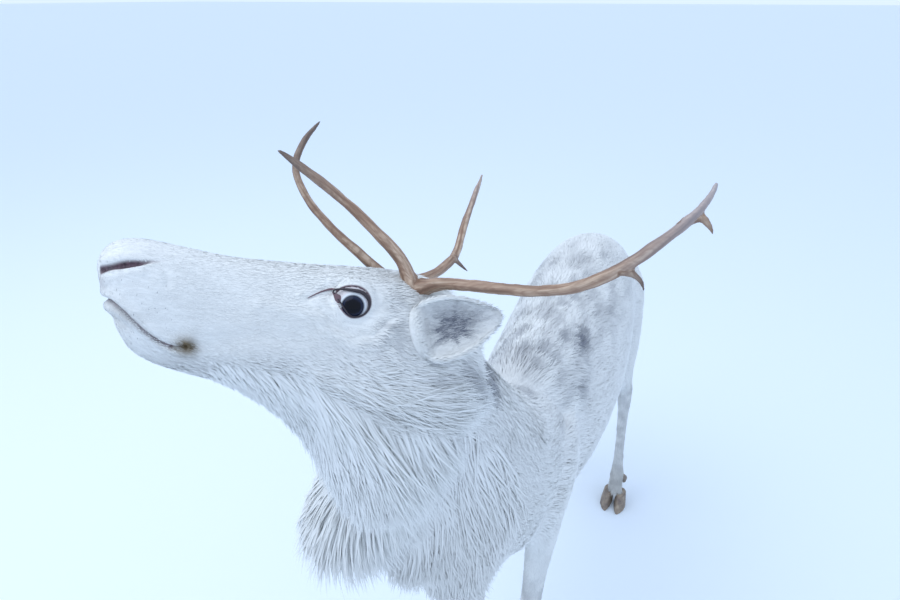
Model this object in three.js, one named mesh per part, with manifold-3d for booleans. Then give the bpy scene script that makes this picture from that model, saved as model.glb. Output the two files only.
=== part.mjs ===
// A white domestic reindeer at life size, standing with its neck raised and its head turned to its right.
// Millimetres, +Z up. The animal faces -Y and its left side is +X. The origin is on the ground,
// under the middle of its bounding box.
import * as THREE from "three";
import { mergeVertices } from "three/addons/utils/BufferGeometryUtils.js";
import Module from "manifold-3d";

const wasm = await Module();
wasm.setup();

// Driving sizes
const GAP = 0.3; // clearance between neighbouring solids
const ORIGIN = { x: 6, y: -180 }; // bounding box centre, in the frame where the midline is x = 0
const HEAD_AT = [-24, -718, 1243]; // top of the skull between the antlers
const HEAD_YAW = 52; // degrees, to the animal's right
const HEAD_PITCH = 15; // degrees, nose up
const HEAD_ROLL = 23.5; // degrees, left cheek up
const EYE = { x: 53, y: 43, z: -33, radius: 19.5 };
const FORE_STANCE = { x: 60, y: -392 }; // middle of a fore foot in a square stance
const HIND_STANCE = { x: 128, y: 352 };
const FORE_SHIFT = { left: { x: -4, y: 8 }, right: { x: 4, y: -26 } }; // and how far each one stands from there
const HIND_SHIFT = { left: { x: 16, y: -4, hip: -14 }, right: { x: -2, y: 22, hip: -14 } }; // and of the hips
const FOOT_SIZE = { fore: 1, hind: 0.97 };

// Colours
const WHITE_COAT = 0xe6e8e6;
const GREY_COAT = 0xb9bbb8;
const ANTLER = 0x8d6a4c;
const HORN_BLACK = 0x3b332c;
const EYE_DARK = 0x14161d;

const V = (x, y, z) => new THREE.Vector3(x, y, z);
const rad = THREE.MathUtils.degToRad;

// Head axes: nose, left and up, after yaw, pitch and roll
const noseFlat = V(-Math.sin(rad(HEAD_YAW)), -Math.cos(rad(HEAD_YAW)), 0);
const leftFlat = V(Math.cos(rad(HEAD_YAW)), -Math.sin(rad(HEAD_YAW)), 0);
const NOSE = noseFlat.clone().multiplyScalar(Math.cos(rad(HEAD_PITCH))).setZ(Math.sin(rad(HEAD_PITCH)));
const upFlat = NOSE.clone().cross(leftFlat);
const LEFT = leftFlat.clone().multiplyScalar(Math.cos(rad(HEAD_ROLL)))
  .addScaledVector(upFlat, Math.sin(rad(HEAD_ROLL)));
const CROWN = NOSE.clone().cross(LEFT);

// A point of the head, from its place along the nose, to the left and above the nasal line
function onHead(x, y, z) {
  return V(...HEAD_AT).addScaledVector(NOSE, x).addScaledVector(LEFT, y).addScaledVector(CROWN, z);
}

// Catmull-Rom rows between the rows of a table of stations
function between(rows, perSpan) {
  const at = (i) => rows[Math.min(rows.length - 1, Math.max(0, i))];
  const spline = (a, b, c, d, t) =>
    0.5 * (2 * b + (c - a) * t + (2 * a - 5 * b + 4 * c - d) * t * t + (3 * b - a - 3 * c + d) * t ** 3);
  const made = [];
  for (let i = 0; i < rows.length - 1; i++)
    for (let k = 0; k < perSpan; k++) {
      const row = {};
      for (const key of Object.keys(rows[0]))
        row[key] = spline(at(i - 1)[key], at(i)[key], at(i + 1)[key], at(i + 2)[key], k / perSpan);
      made.push(row);
    }
  made.push({ ...rows[rows.length - 1] });
  return made;
}

// A closed solid from vertices and triangles, with its faces turned out
function solidFrom(positions, triangles) {
  const build = (tris) =>
    new wasm.Manifold(new wasm.Mesh({
      numProp: 3,
      vertProperties: new Float32Array(positions),
      triVerts: new Uint32Array(tris),
    }));
  const made = build(triangles);
  if (made.volume() > 0) return made;
  const turned = [];
  for (let i = 0; i < triangles.length; i += 3)
    turned.push(triangles[i], triangles[i + 2], triangles[i + 1]);
  return build(turned);
}

// A three.js geometry as a solid
function solidOf(geometry) {
  const g = geometry.clone();
  g.deleteAttribute("normal");
  g.deleteAttribute("uv");
  const merged = mergeVertices(g, 1e-3);
  return solidFrom(merged.attributes.position.array, merged.index.array);
}

// A skin through rings of points, closed by a fan at each end
function loft(rings, firstTip, lastTip) {
  const n = rings[0].length;
  const centre = (ring) => ring.reduce((sum, p) => sum.add(p), V(0, 0, 0)).divideScalar(n);
  const points = [...rings.flat(), firstTip || centre(rings[0]), lastTip || centre(rings[rings.length - 1])];
  const triangles = [];
  for (let r = 0; r < rings.length - 1; r++)
    for (let i = 0; i < n; i++) {
      const a = r * n + i;
      const b = r * n + ((i + 1) % n);
      triangles.push(a, b, b + n, a, b + n, a + n);
    }
  const first = rings.length * n;
  const end = (rings.length - 1) * n;
  for (let i = 0; i < n; i++) {
    const j = (i + 1) % n;
    triangles.push(first, j, i, first + 1, end + i, end + j);
  }
  return solidFrom(points.flatMap((p) => [p.x, p.y, p.z]), triangles);
}

// An egg-shaped ring: width to each side, top and bottom along up. A lean over 0 makes it wider above than below
function eggRing(centre, side, up, s, sides, grow = 0) {
  const ring = [];
  for (let i = 0; i < sides; i++) {
    const t = (2 * Math.PI * i) / sides;
    const h = Math.sin(t);
    const across = (s.width + grow) * Math.cos(t) * (1 + (s.lean || 0) * h);
    const along = (h > 0 ? s.top + grow : s.bottom + grow) * h;
    ring.push(centre.clone().addScaledVector(side, across).addScaledVector(up, along));
  }
  return ring;
}

// A round, tapering tube through points of { at, radius }, as an antler's beam or a tine
function taperedTube(stations, perSpan, sides, grow = 0) {
  const rows = between(stations.map((s) => ({ x: s.at.x, y: s.at.y, z: s.at.z, radius: s.radius })), perSpan);
  let side = null;
  const rings = rows.map((row, i) => {
    const here = V(row.x, row.y, row.z);
    const before = rows[Math.max(0, i - 1)];
    const after = rows[Math.min(rows.length - 1, i + 1)];
    const along = V(after.x - before.x, after.y - before.y, after.z - before.z).normalize();
    if (!side) side = Math.abs(along.z) < 0.9 ? V(0, 0, 1).cross(along) : V(1, 0, 0).cross(along);
    side.addScaledVector(along, -side.dot(along)).normalize();
    const up = along.clone().cross(side);
    return eggRing(here, side, up, { width: row.radius, top: row.radius, bottom: row.radius }, sides, grow);
  });
  const last = rows[rows.length - 1];
  const beforeLast = rows[rows.length - 2];
  const ahead = V(last.x - beforeLast.x, last.y - beforeLast.y, last.z - beforeLast.z).normalize();
  const tip = V(last.x, last.y, last.z).addScaledVector(ahead, last.radius);
  return loft(rings, null, tip);
}

const union = (solids) => wasm.Manifold.union(solids);

// The largest closed surface of a solid: a sealed hollow is filled and a loose scrap dropped
function largest(solid) {
  return solid.decompose().sort((a, b) => b.volume() - a.volume())[0];
}

// Trunk

const TRUNK_SIDES = 22;
const TRUNK_FRONT = V(0, -552, 713);
const TRUNK_REAR = V(-16, 509, 779);
const TRUNK_SPLIT = 6; // the row where its front and rear halves meet
const TRUNK = [
  { y: -548, x: 0, z: 715, width: 24, top: 38, bottom: 42, lean: 0 },
  { y: -525, x: 0, z: 715, width: 62, top: 90, bottom: 92, lean: 0.05 },
  { y: -480, x: 0, z: 715, width: 90, top: 140, bottom: 140, lean: 0.05 },
  { y: -410, x: -1, z: 715, width: 98, top: 190, bottom: 188, lean: 0.02 },
  { y: -320, x: -2, z: 715, width: 112, top: 222, bottom: 212, lean: -0.02 },
  { y: -200, x: -4, z: 710, width: 140, top: 222, bottom: 218, lean: -0.06 },
  { y: -60, x: -7, z: 705, width: 156, top: 220, bottom: 218, lean: -0.08 },
  { y: 80, x: -12, z: 710, width: 163, top: 222, bottom: 212, lean: -0.06 },
  { y: 200, x: -15, z: 725, width: 158, top: 215, bottom: 196, lean: 0 },
  { y: 310, x: -17, z: 748, width: 144, top: 190, bottom: 170, lean: 0.04 },
  { y: 400, x: -17, z: 768, width: 119, top: 148, bottom: 136, lean: 0.06 },
  { y: 462, x: -16, z: 780, width: 84, top: 98, bottom: 100, lean: 0.05 },
  { y: 496, x: -16, z: 782, width: 46, top: 54, bottom: 58, lean: 0 },
  { y: 506, x: -16, z: 780, width: 15, top: 18, bottom: 22, lean: 0 },
];

// The trunk between two of its rows; its first ring can slide back by a gap
function trunk(from, to, grow = 0, slide = 0) {
  const rings = TRUNK.slice(from, to + 1).map((s, i) =>
    eggRing(V(s.x, s.y + (i === 0 ? slide : 0), s.z), V(1, 0, 0), V(0, 0, 1), s, TRUNK_SIDES, grow));
  const front = from === 0 ? TRUNK_FRONT.clone().setY(TRUNK_FRONT.y - grow) : null;
  const rear = to === TRUNK.length - 1 ? TRUNK_REAR.clone().setY(TRUNK_REAR.y + grow) : null;
  return loft(rings, front, rear);
}

// Head: each section runs through a top, a brow, a cheek, a jaw and a bottom point

const HEAD_SIDES = 26;
const HEAD = [
  { x: -82, top: -34, browW: 26, browZ: -40, cheekW: 42, cheekZ: -74, jawW: 30, jawZ: -112, bottom: -124, rake: 0 },
  { x: -50, top: -10, browW: 36, browZ: -18, cheekW: 58, cheekZ: -60, jawW: 46, jawZ: -120, bottom: -158, rake: 0 },
  { x: -15, top: 3, browW: 44, browZ: -7, cheekW: 66, cheekZ: -52, jawW: 54, jawZ: -126, bottom: -176, rake: 0 },
  { x: 22, top: 5, browW: 49, browZ: -8, cheekW: 66, cheekZ: -52, jawW: 54, jawZ: -121, bottom: -176, rake: 0 },
  { x: 57, top: 3, browW: 48, browZ: -10, cheekW: 60, cheekZ: -46, jawW: 49, jawZ: -110, bottom: -162, rake: 0 },
  { x: 92, top: 0, browW: 35, browZ: -9, cheekW: 51, cheekZ: -48, jawW: 43, jawZ: -102, bottom: -142, rake: 0.02 },
  { x: 128, top: -2, browW: 26, browZ: -9, cheekW: 44, cheekZ: -48, jawW: 40, jawZ: -102, bottom: -129, rake: 0.06 },
  { x: 165, top: -3, browW: 24, browZ: -10, cheekW: 40, cheekZ: -46, jawW: 38, jawZ: -98, bottom: -122, rake: 0.12 },
  { x: 200, top: 0, browW: 26, browZ: -8, cheekW: 42, cheekZ: -42, jawW: 37, jawZ: -96, bottom: -119, rake: 0.2 },
  { x: 228, top: 2, browW: 30, browZ: -7, cheekW: 44, cheekZ: -38, jawW: 36, jawZ: -93, bottom: -115, rake: 0.3 },
  { x: 247, top: -2, browW: 29, browZ: -11, cheekW: 41, cheekZ: -38, jawW: 32, jawZ: -89, bottom: -110, rake: 0.34 },
  { x: 260, top: -11, browW: 23, browZ: -18, cheekW: 32, cheekZ: -39, jawW: 25, jawZ: -82, bottom: -100, rake: 0.34 },
  { x: 268, top: -22, browW: 13, browZ: -27, cheekW: 18, cheekZ: -40, jawW: 15, jawZ: -65, bottom: -76, rake: 0.34 },
];

function headRing(s, grow) {
  const half = [
    [0, s.top + grow], [s.browW + grow, s.browZ + grow], [s.cheekW + grow, s.cheekZ],
    [s.jawW + grow, s.jawZ - grow], [0, s.bottom - grow],
  ];
  const outline = [...half, [-half[3][0], half[3][1]], [-half[2][0], half[2][1]], [-half[1][0], half[1][1]]];
  const curve = new THREE.CatmullRomCurve3(outline.map(([y, z]) => V(0, y, z)), true, "centripetal");
  const ring = [];
  for (let i = 0; i < HEAD_SIDES; i++) {
    const p = curve.getPoint(i / HEAD_SIDES);
    ring.push(onHead(s.x + s.rake * (p.z + 40), p.y, p.z));
  }
  return ring;
}

function headShape(grow = 0) {
  const rings = between(HEAD, 2).map((s) => headRing(s, grow));
  return loft(rings, onHead(-84 - grow, 0, -78), onHead(271 + grow, 0, -41));
}

// The mouth: a thin wedge across the muzzle, from its corners to the front of the lips
function mouthCut() {
  const line = [[196, -89], [206, -89], [216, -85], [226, -78], [237, -69], [249, -60], [280, -56]];
  const opening = (i) => 0.3 + 0.32 * i;
  const across = 130;
  const upper = line.map(([x, z], i) => new THREE.Vector2(x, z + opening(i)));
  const lower = line.map(([x, z], i) => new THREE.Vector2(x, z - opening(i))).reverse();
  const shape = new THREE.Shape([...upper, ...lower]);
  const flat = new THREE.ExtrudeGeometry(shape, { depth: across, bevelEnabled: false, steps: 1 });
  flat.translate(0, 0, -across / 2);
  const position = flat.getAttribute("position");
  for (let i = 0; i < position.count; i++) {
    const p = onHead(position.getX(i), position.getZ(i), position.getY(i));
    position.setXYZ(i, p.x, p.y, p.z);
  }
  return solidOf(flat);
}

// A lip: a soft roll along the mouth, from one corner round the front to the other
const LIP_RADIUS = 3.4;
function lip(offset, setBack) {
  const half = [[200, 36, -89], [216, 37, -85], [227, 38.5, -77.5], [239, 38, -67], [251, 33.5, -59], [260, 22, -56]];
  const stations = [...half, [265, 0, -57], ...half.map(([x, y, z]) => [x, -y, z]).reverse()];
  return taperedTube(stations.map(([x, y, z], i) => ({
    at: onHead(x - setBack, y, z + offset),
    radius: i === 0 || i === stations.length - 1 ? LIP_RADIUS / 2 : LIP_RADIUS,
  })), 1, 6);
}

// A nostril: a slit that opens forward, deepest at its front
function nostril(side) {
  return taperedTube([
    { at: onHead(262, side * 26, -33), radius: 3 },
    { at: onHead(255, side * 34, -31), radius: 5.6 },
    { at: onHead(245, side * 39, -27), radius: 4.6 },
    { at: onHead(232, side * 41, -21), radius: 3.2 },
    { at: onHead(216, side * 39, -15), radius: 1.6 },
  ], 1, 7);
}

const eyeCentre = (side) => onHead(EYE.x, side * EYE.y, EYE.z);

// The lids' edge: an almond round the eye, drawn out and up to a point at its front corner
const LIDS = { halfLength: 17, halfHeight: 14.5, corner: 6, cornerRise: 7, radius: 3.1, steps: 14, around: 5 };
function lidEdge(side) {
  const stations = [];
  for (let i = 0; i < LIDS.steps; i++) {
    const t = (2 * Math.PI * i) / LIDS.steps;
    const front = Math.max(0, Math.cos(t));
    const across = LIDS.halfLength * Math.cos(t) + LIDS.corner * front ** 4;
    const rise = LIDS.halfHeight * Math.sin(t) * (1 - 0.35 * front ** 3) + LIDS.cornerRise * front ** 2;
    const onBall = (EYE.radius + 1.5) ** 2 - Math.min(across, LIDS.halfLength) ** 2 - rise ** 2;
    const out = Math.sqrt(Math.max(0, onBall));
    stations.push(eyeCentre(side).addScaledVector(NOSE, across + 0.25 * out)
      .addScaledVector(CROWN, rise).addScaledVector(LEFT, side * out));
  }
  return stations;
}

// The lids: a closed ring of small sections along their edge
function lidRing(side) {
  const stations = lidEdge(side);
  const n = stations.length;
  const { around, radius } = LIDS;
  const points = [];
  const triangles = [];
  stations.forEach((s, i) => {
    const along = stations[(i + 1) % n].clone().sub(stations[(i + n - 1) % n]).normalize();
    const outward = LEFT.clone().multiplyScalar(side);
    outward.addScaledVector(along, -outward.dot(along)).normalize();
    const across = along.clone().cross(outward);
    points.push(...eggRing(s, across, outward, { width: radius, top: radius, bottom: radius }, around));
    for (let k = 0; k < around; k++) {
      const a = i * around + k;
      const b = i * around + ((k + 1) % around);
      const c = ((i + 1) % n) * around + k;
      const d = ((i + 1) % n) * around + ((k + 1) % around);
      triangles.push(a, b, d, a, d, c);
    }
  });
  return solidFrom(points.flatMap((p) => [p.x, p.y, p.z]), triangles);
}

function eyeball(side, grow = 0) {
  const ball = new THREE.SphereGeometry(EYE.radius + grow, 14, 9);
  const c = eyeCentre(side);
  ball.translate(c.x, c.y, c.z);
  return solidOf(ball);
}

// The shallow hollow in the skull that the lids stand in
const SOCKET = { long: 21, high: 16.5, deep: 13, out: 19 };
function socket(side) {
  const hollow = new THREE.SphereGeometry(1, 12, 8);
  hollow.applyMatrix4(new THREE.Matrix4().makeBasis(NOSE.clone().multiplyScalar(SOCKET.long),
    CROWN.clone().multiplyScalar(SOCKET.high), LEFT.clone().multiplyScalar(SOCKET.deep)));
  const c = onHead(EYE.x, side * (EYE.y + SOCKET.out), EYE.z);
  hollow.translate(c.x, c.y, c.z);
  return solidOf(hollow);
}

// Ears: a leaf-shaped shell, hollowed from the side that it faces

const EAR = [
  { along: -12, sink: 22, width: 19, back: 15, face: 13 },
  { along: 2, sink: 9, width: 24, back: 17, face: 9 },
  { along: 15, sink: 2, width: 28, back: 19, face: 4 },
  { along: 32, sink: 0, width: 29.5, back: 18, face: 1 },
  { along: 50, sink: 0, width: 25, back: 14, face: 0 },
  { along: 64, sink: 0, width: 17.5, back: 10, face: 1 },
  { along: 76, sink: 0, width: 9, back: 5, face: 2 },
  { along: 82, sink: 0, width: 3.5, back: 3, face: 2 },
];
const EAR_WALL = 5;
const EAR_CUP = 9; // how far the hollow stands out of the leaf
const EAR_SIDES = 12;

function ear(side, grow = 0) {
  const out = NOSE.clone().multiplyScalar(-0.93).addScaledVector(LEFT, side * 0.32).addScaledVector(CROWN, 0.36);
  out.normalize();
  const facing = NOSE.clone().multiplyScalar(0.33).addScaledVector(LEFT, side * 0.94);
  facing.addScaledVector(out, -facing.dot(out)).normalize();
  const broad = out.clone().cross(facing);
  const root = onHead(3, side * 71, -55);
  const ring = (s, shift, thinner) => eggRing(
    root.clone().addScaledVector(out, s.along).addScaledVector(facing, shift - s.sink), broad, facing,
    { width: s.width - thinner, top: Math.max(s.face, 2) + shift, bottom: Math.max(2, s.back - thinner + shift) },
    EAR_SIDES, grow);
  const shell = loft(between(EAR, 2).map((s) => ring(s, 0, 0)));
  if (grow) return shell;
  const canal = root.clone().addScaledVector(out, -2).addScaledVector(facing, -8);
  const hollow = loft(between(EAR.slice(2, 7), 2).map((s) => ring(s, EAR_CUP, EAR_WALL)), canal);
  return shell.subtract(hollow);
}

// Antlers, as [nose, left, crown, radius] on the head's own axes

const BEAM_LEFT = [
  [2, 36, -34, 8], [-4, 42, -14, 9], [-12, 51, -8, 7.8], [-27, 70, -3, 6], [-56, 110, -2, 5.3],
  [-84, 142, 0, 5.2], [-105, 169, 8, 5.3], [-123, 196, 24, 5.5], [-138, 221, 47, 4.8], [-149, 238, 66, 3.8],
  [-158, 243, 82, 3.1], [-161, 245, 93, 1.7],
];
const BEAM_RIGHT = [
  [2, -36, -34, 8], [-4, -42, -14, 9], [-16, -48, -8, 7.6], [-50, -68, 6, 6.4], [-74, -89, 22, 5.8],
  [-94, -114, 42, 5.5], [-112, -150, 82, 5.2], [-134, -188, 126, 4.4], [-146, -208, 150, 3.4], [-152, -216, 166, 1.6],
];
const BROW_LEFT = [
  [-1, 41, -20, 7], [5, 40, 0, 7], [18, 37, 19, 6.4], [45, 29, 42, 5.6], [76, 21, 65, 5.2],
  [116, 11, 89, 4.5], [137, 7, 100, 1.8],
];
const BROW_RIGHT = [
  [-1, -41, -20, 7], [8, -41, -4, 6.8], [32, -43, 13, 5.6], [61, -47, 33, 4.9], [94, -54, 61, 4.6],
  [112, -55, 86, 4.4], [116, -54, 106, 4], [109, -50, 130, 3.4], [98, -44, 148, 1.6],
];
const FORK_LEFT = [[-146, 232, 62, 4.2], [-155, 240, 67, 3.6], [-161, 243, 62, 2.8], [-165, 244, 56, 1.4]];
const SNAG_LEFT = [[-124, 197, 23, 4], [-131.6, 201.7, 21.5, 3.2], [-138, 204, 17, 2.4], [-141.5, 205, 9.5, 1.2]];
const SNAG_RIGHT = [[-84, -102, 34, 3.8], [-96, -103, 27, 2.8], [-108, -101, 19, 1.3]];

function antler(path, grow = 0) {
  return taperedTube(path.map(([x, y, z, radius]) => ({ at: onHead(x, y, z), radius })), 2, 7, grow);
}

// Neck: each ring stands across the neck, its back side tilted to the rear

const NECK_SIDES = 22;
const NECK = [
  { x: 0, y: -330, z: 740, tilt: 10, yaw: 0, width: 108, top: 140, bottom: 140, lean: 0 },
  { x: 0, y: -415, z: 772, tilt: 26, yaw: 3, width: 110, top: 146, bottom: 196, lean: 0.05 },
  { x: -3, y: -505, z: 850, tilt: 38, yaw: 10, width: 100, top: 120, bottom: 220, lean: 0.1 },
  { x: -10, y: -580, z: 945, tilt: 44, yaw: 18, width: 90, top: 104, bottom: 200, lean: 0.1 },
  { x: -17, y: -642, z: 1035, tilt: 46, yaw: 30, width: 82, top: 90, bottom: 212, lean: 0.08 },
  { x: -12, y: -690, z: 1110, tilt: 40, yaw: 42, width: 76, top: 72, bottom: 228, lean: 0 },
  { x: 2, y: -718, z: 1163, tilt: 34, yaw: 50, width: 64, top: 46, bottom: 196, lean: -0.05 },
];

// The neck's axes at one of its rows: across to the left, and from the throat to the crest
function neckAxes(s) {
  const across = V(Math.cos(rad(s.yaw)), -Math.sin(rad(s.yaw)), 0);
  const crest = V(Math.sin(rad(s.yaw)), Math.cos(rad(s.yaw)), 0).multiplyScalar(Math.sin(rad(s.tilt)));
  return { at: V(s.x, s.y, s.z), across, crest: crest.setZ(Math.cos(rad(s.tilt))) };
}

function neckShape() {
  return loft(between(NECK, 2).map((s) => {
    const { at, across, crest } = neckAxes(s);
    return eggRing(at, across, crest, s, NECK_SIDES);
  }));
}

// Locks of long coat: flat and tapered, each bends from the way it leaves the skin to the way it hangs

let seed = 7;
function random() {
  seed = (seed * 1103515245 + 12345) % 2147483648;
  return seed / 2147483648;
}
const vary = (value, share) => value * (1 + share * (2 * random() - 1));

const LOCK_THICKNESS = 0.42; // of its width
function lock({ root, outward, leaving, hanging, length, width }, grow = 0) {
  const steps = [0, 0.35, 0.76];
  const at = root.clone();
  let before = 0;
  const rings = steps.map((t) => {
    const way = leaving.clone().lerp(hanging, Math.min(1, t * 1.35)).normalize();
    at.addScaledVector(way, (t - before) * length);
    before = t;
    const broad = way.clone().cross(outward).normalize();
    const flat = broad.clone().cross(way);
    const w = width * (t === 0 ? 0.8 : 1 - 0.75 * t ** 1.6);
    const thick = w * LOCK_THICKNESS + grow;
    return [[w + grow, 0], [0, thick], [-w - grow, 0], [0, -thick]].map(([a, b]) =>
      at.clone().addScaledVector(broad, a).addScaledVector(flat, b));
  });
  const tip = at.clone().addScaledVector(hanging, (1 - before) * length + grow);
  return loft(rings, null, tip);
}

const DOWN = V(0, 0, -1);
const RUFF = { rows: 9, perRow: 6, spread: 68, first: 5, last: 21, sideLength: 88, throatLength: 122, width: 21 };
const BEARD = { rows: 8, start: 182, step: 26, depth: -105, fall: 9, length: 34, longer: 13, width: 15 };

// The ruff: rows of locks round the throat, from the chest up to the jaw, longest along its middle
function ruff() {
  const rows = between(NECK, 4);
  const top = NECK[NECK.length - 1];
  const locks = [];
  for (let row = 0; row < RUFF.rows; row++) {
    const s = rows[Math.round(RUFF.first + ((RUFF.last - RUFF.first) * row) / (RUFF.rows - 1))];
    const { at, across, crest } = neckAxes(s);
    const lie = at.clone().sub(V(top.x, top.y, top.z)).normalize();
    for (let k = 0; k < RUFF.perRow; k++) {
      const place = (k + (row % 2 ? 0.75 : 0.25)) / RUFF.perRow;
      const angle = rad((2 * place - 1) * RUFF.spread + 4 * (random() - 0.5));
      const sideways = across.clone().multiplyScalar(Math.sin(angle));
      const outward = sideways.addScaledVector(crest, -Math.cos(angle)).normalize();
      const root = at.clone().addScaledVector(across, s.width * Math.sin(angle) * 0.9)
        .addScaledVector(crest, -s.bottom * Math.cos(angle) * 0.93);
      const leaving = outward.clone().multiplyScalar(0.7 + 0.07 * (RUFF.rows - row)).add(lie).normalize();
      const hanging = outward.clone().multiplyScalar(0.12).addScaledVector(lie, 0.35).addScaledVector(DOWN, 0.8);
      hanging.normalize();
      const length = vary(RUFF.sideLength + (RUFF.throatLength - RUFF.sideLength) * Math.cos(angle), 0.14);
      locks.push({ root, outward, leaving, hanging, length, width: vary(RUFF.width, 0.15) });
    }
  }
  return locks;
}

// Shorter locks under the jaw, growing longer from behind the chin to the throat
function beard() {
  const locks = [];
  for (let i = 0; i < BEARD.rows; i++)
    for (const y of i % 2 ? [-16, 16] : [-30, 0, 30]) {
      const x = BEARD.start - BEARD.step * i;
      const root = onHead(x, y, BEARD.depth - BEARD.fall * i + 0.35 * Math.abs(y));
      const outward = CROWN.clone().negate().addScaledVector(LEFT, y * 0.02).normalize();
      const leaving = outward.clone().addScaledVector(NOSE, -0.55).normalize();
      const hanging = DOWN.clone().addScaledVector(NOSE, -0.3).addScaledVector(outward, 0.4).normalize();
      const length = vary(BEARD.length + BEARD.longer * i, 0.12);
      locks.push({ root, outward, leaving, hanging, length, width: vary(BEARD.width + i, 0.15) });
    }
  return locks;
}

// Legs: each ring is level at tilt 0, and a tilt turns its front down

const LEG_SIDES = 14;
const FORELEG = [
  { x: 68, y: -350, z: 815, tilt: 0, width: 32, front: 66, back: 66 },
  { x: 75, y: -345, z: 760, tilt: 0, width: 40, front: 88, back: 86 },
  { x: 76, y: -340, z: 680, tilt: 0, width: 40, front: 100, back: 94 },
  { x: 71, y: -342, z: 600, tilt: 0, width: 36, front: 84, back: 84 },
  { x: 67, y: -345, z: 520, tilt: 0, width: 32, front: 58, back: 63 },
  { x: 63, y: -352, z: 440, tilt: 0, width: 28, front: 41, back: 44 },
  { x: 61, y: -358, z: 370, tilt: 0, width: 26, front: 31, back: 31 },
  { x: 60, y: -360, z: 325, tilt: 0, width: 26.5, front: 33, back: 29 },
  { x: 60, y: -360, z: 285, tilt: 0, width: 24, front: 29, back: 27 },
  { x: 60, y: -359, z: 230, tilt: 0, width: 19, front: 20, back: 23 },
  { x: 60, y: -360, z: 155, tilt: 0, width: 19, front: 19, back: 23 },
  { x: 60, y: -362, z: 105, tilt: 4, width: 25, front: 24, back: 30 },
  { x: 60, y: -371, z: 75, tilt: 20, width: 26, front: 25, back: 27 },
  { x: 60, y: -385, z: 42, tilt: 22, width: 29, front: 25, back: 26 },
];
const HINDLEG = [
  { x: 74, y: 345, z: 850, tilt: 0, width: 38, front: 90, back: 70 },
  { x: 86, y: 345, z: 785, tilt: 2, width: 58, front: 138, back: 118 },
  { x: 92, y: 338, z: 705, tilt: 8, width: 62, front: 148, back: 142 },
  { x: 98, y: 322, z: 625, tilt: 18, width: 56, front: 122, back: 132 },
  { x: 104, y: 318, z: 560, tilt: 30, width: 44, front: 88, back: 88 },
  { x: 109, y: 350, z: 500, tilt: 42, width: 34, front: 52, back: 46 },
  { x: 112, y: 390, z: 450, tilt: 42, width: 27, front: 35, back: 34 },
  { x: 114, y: 416, z: 405, tilt: 24, width: 25, front: 34, back: 36 },
  { x: 115, y: 424, z: 360, tilt: 4, width: 24, front: 29, back: 31 },
  { x: 117, y: 419, z: 295, tilt: -6, width: 20, front: 22, back: 24 },
  { x: 121, y: 404, z: 205, tilt: -8, width: 19, front: 20, back: 23 },
  { x: 124, y: 392, z: 140, tilt: -6, width: 20, front: 20, back: 25 },
  { x: 126, y: 385, z: 105, tilt: 4, width: 25, front: 24, back: 30 },
  { x: 127, y: 374, z: 75, tilt: 20, width: 26, front: 25, back: 27 },
  { x: 128, y: 358, z: 42, tilt: 22, width: 29, front: 25, back: 26 },
];
const KNEE = 7; // rows where a leg is divided
const STIFLE = 4;
const HOCK = 7;

// The foot's shift moves the leg more the lower it is
function legRing(s, side, shift, grow, slide) {
  const hip = 700;
  const share = Math.min(1, Math.max(0, (hip - s.z) / hip));
  const front = V(0, -Math.cos(rad(s.tilt)), -Math.sin(rad(s.tilt)));
  const along = V(0, Math.sin(rad(s.tilt)), -Math.cos(rad(s.tilt)));
  const sway = (shift.hip || 0) * Math.min(1, Math.max(0, (s.z - 420) / 280));
  const centre = V(side * (s.x + shift.x * share) + sway, s.y + shift.y * share, s.z).addScaledVector(along, slide);
  return eggRing(centre, V(side, 0, 0), front, { width: s.width, top: s.front, bottom: s.back }, LEG_SIDES, grow);
}

// A length of a leg between two rows of its table; below its top part it starts a gap lower
function legPart(table, from, to, side, shift, grow = 0) {
  const rows = table.slice(from, to + 1);
  return loft(rows.map((s, i) => {
    const start = from > 0 ? GAP : 0;
    const slide = i === 0 ? start - grow : (i === rows.length - 1 ? grow : 0);
    return legRing(s, side, shift, grow, slide);
  }));
}

// Hooves: a toe's outline narrows and bends in toward its tip, and shrinks upward

const HOOF = { ahead: 50, behind: 30, halfWidth: 20, levels: [0, 10, 30, 46], sides: 14, spread: 22.5, splay: 7 };
function hoof(x, y, inward, splay, size, grow = 0) {
  const rings = HOOF.levels.map((z, level) => {
    const length = (HOOF.ahead - 0.32 * z) * size;
    const rear = (HOOF.behind - 0.22 * z) * size;
    const ring = [];
    for (let i = 0; i < HOOF.sides; i++) {
      const t = (2 * Math.PI * i) / HOOF.sides;
      const h = Math.sin(t);
      const ahead = h > 0 ? (length + grow) * h : (rear + grow) * h;
      const width = (HOOF.halfWidth * size - 0.09 * z + grow) * Math.cos(t) * (1 - 0.34 * Math.max(0, h) ** 2);
      const bend = 9 * size * Math.max(0, h) ** 2;
      const lx = width + inward * bend;
      const ly = -ahead + 0.42 * z;
      const lift = level === 0 ? -grow : (level === HOOF.levels.length - 1 ? grow : 0);
      ring.push(V(
        x + lx * Math.cos(splay) - ly * Math.sin(splay),
        y + lx * Math.sin(splay) + ly * Math.cos(splay),
        z * size + lift));
    }
    return ring;
  });
  return loft(rings);
}

// A foot's two hooves and two dewclaws, by name
function foot(x, y, side, size, grow = 0) {
  const made = {};
  for (const [place, turn] of [["outer", side], ["inner", -side]]) {
    const hoofX = x + turn * HOOF.spread * size;
    made[`hoof_${place}`] = hoof(hoofX, y, -turn, turn * rad(HOOF.splay), size, grow);
    made[`dewclaw_${place}`] = dewclaw(x, y, turn, grow);
  }
  return made;
}

function dewclaw(x, y, turn, grow) {
  return taperedTube([
    { at: V(x + turn * 13, y + 48, 84), radius: 7.5 },
    { at: V(x + turn * 18, y + 61, 66), radius: 11 },
    { at: V(x + turn * 19, y + 68, 44), radius: 7 },
  ], 1, 8, grow);
}

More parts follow.
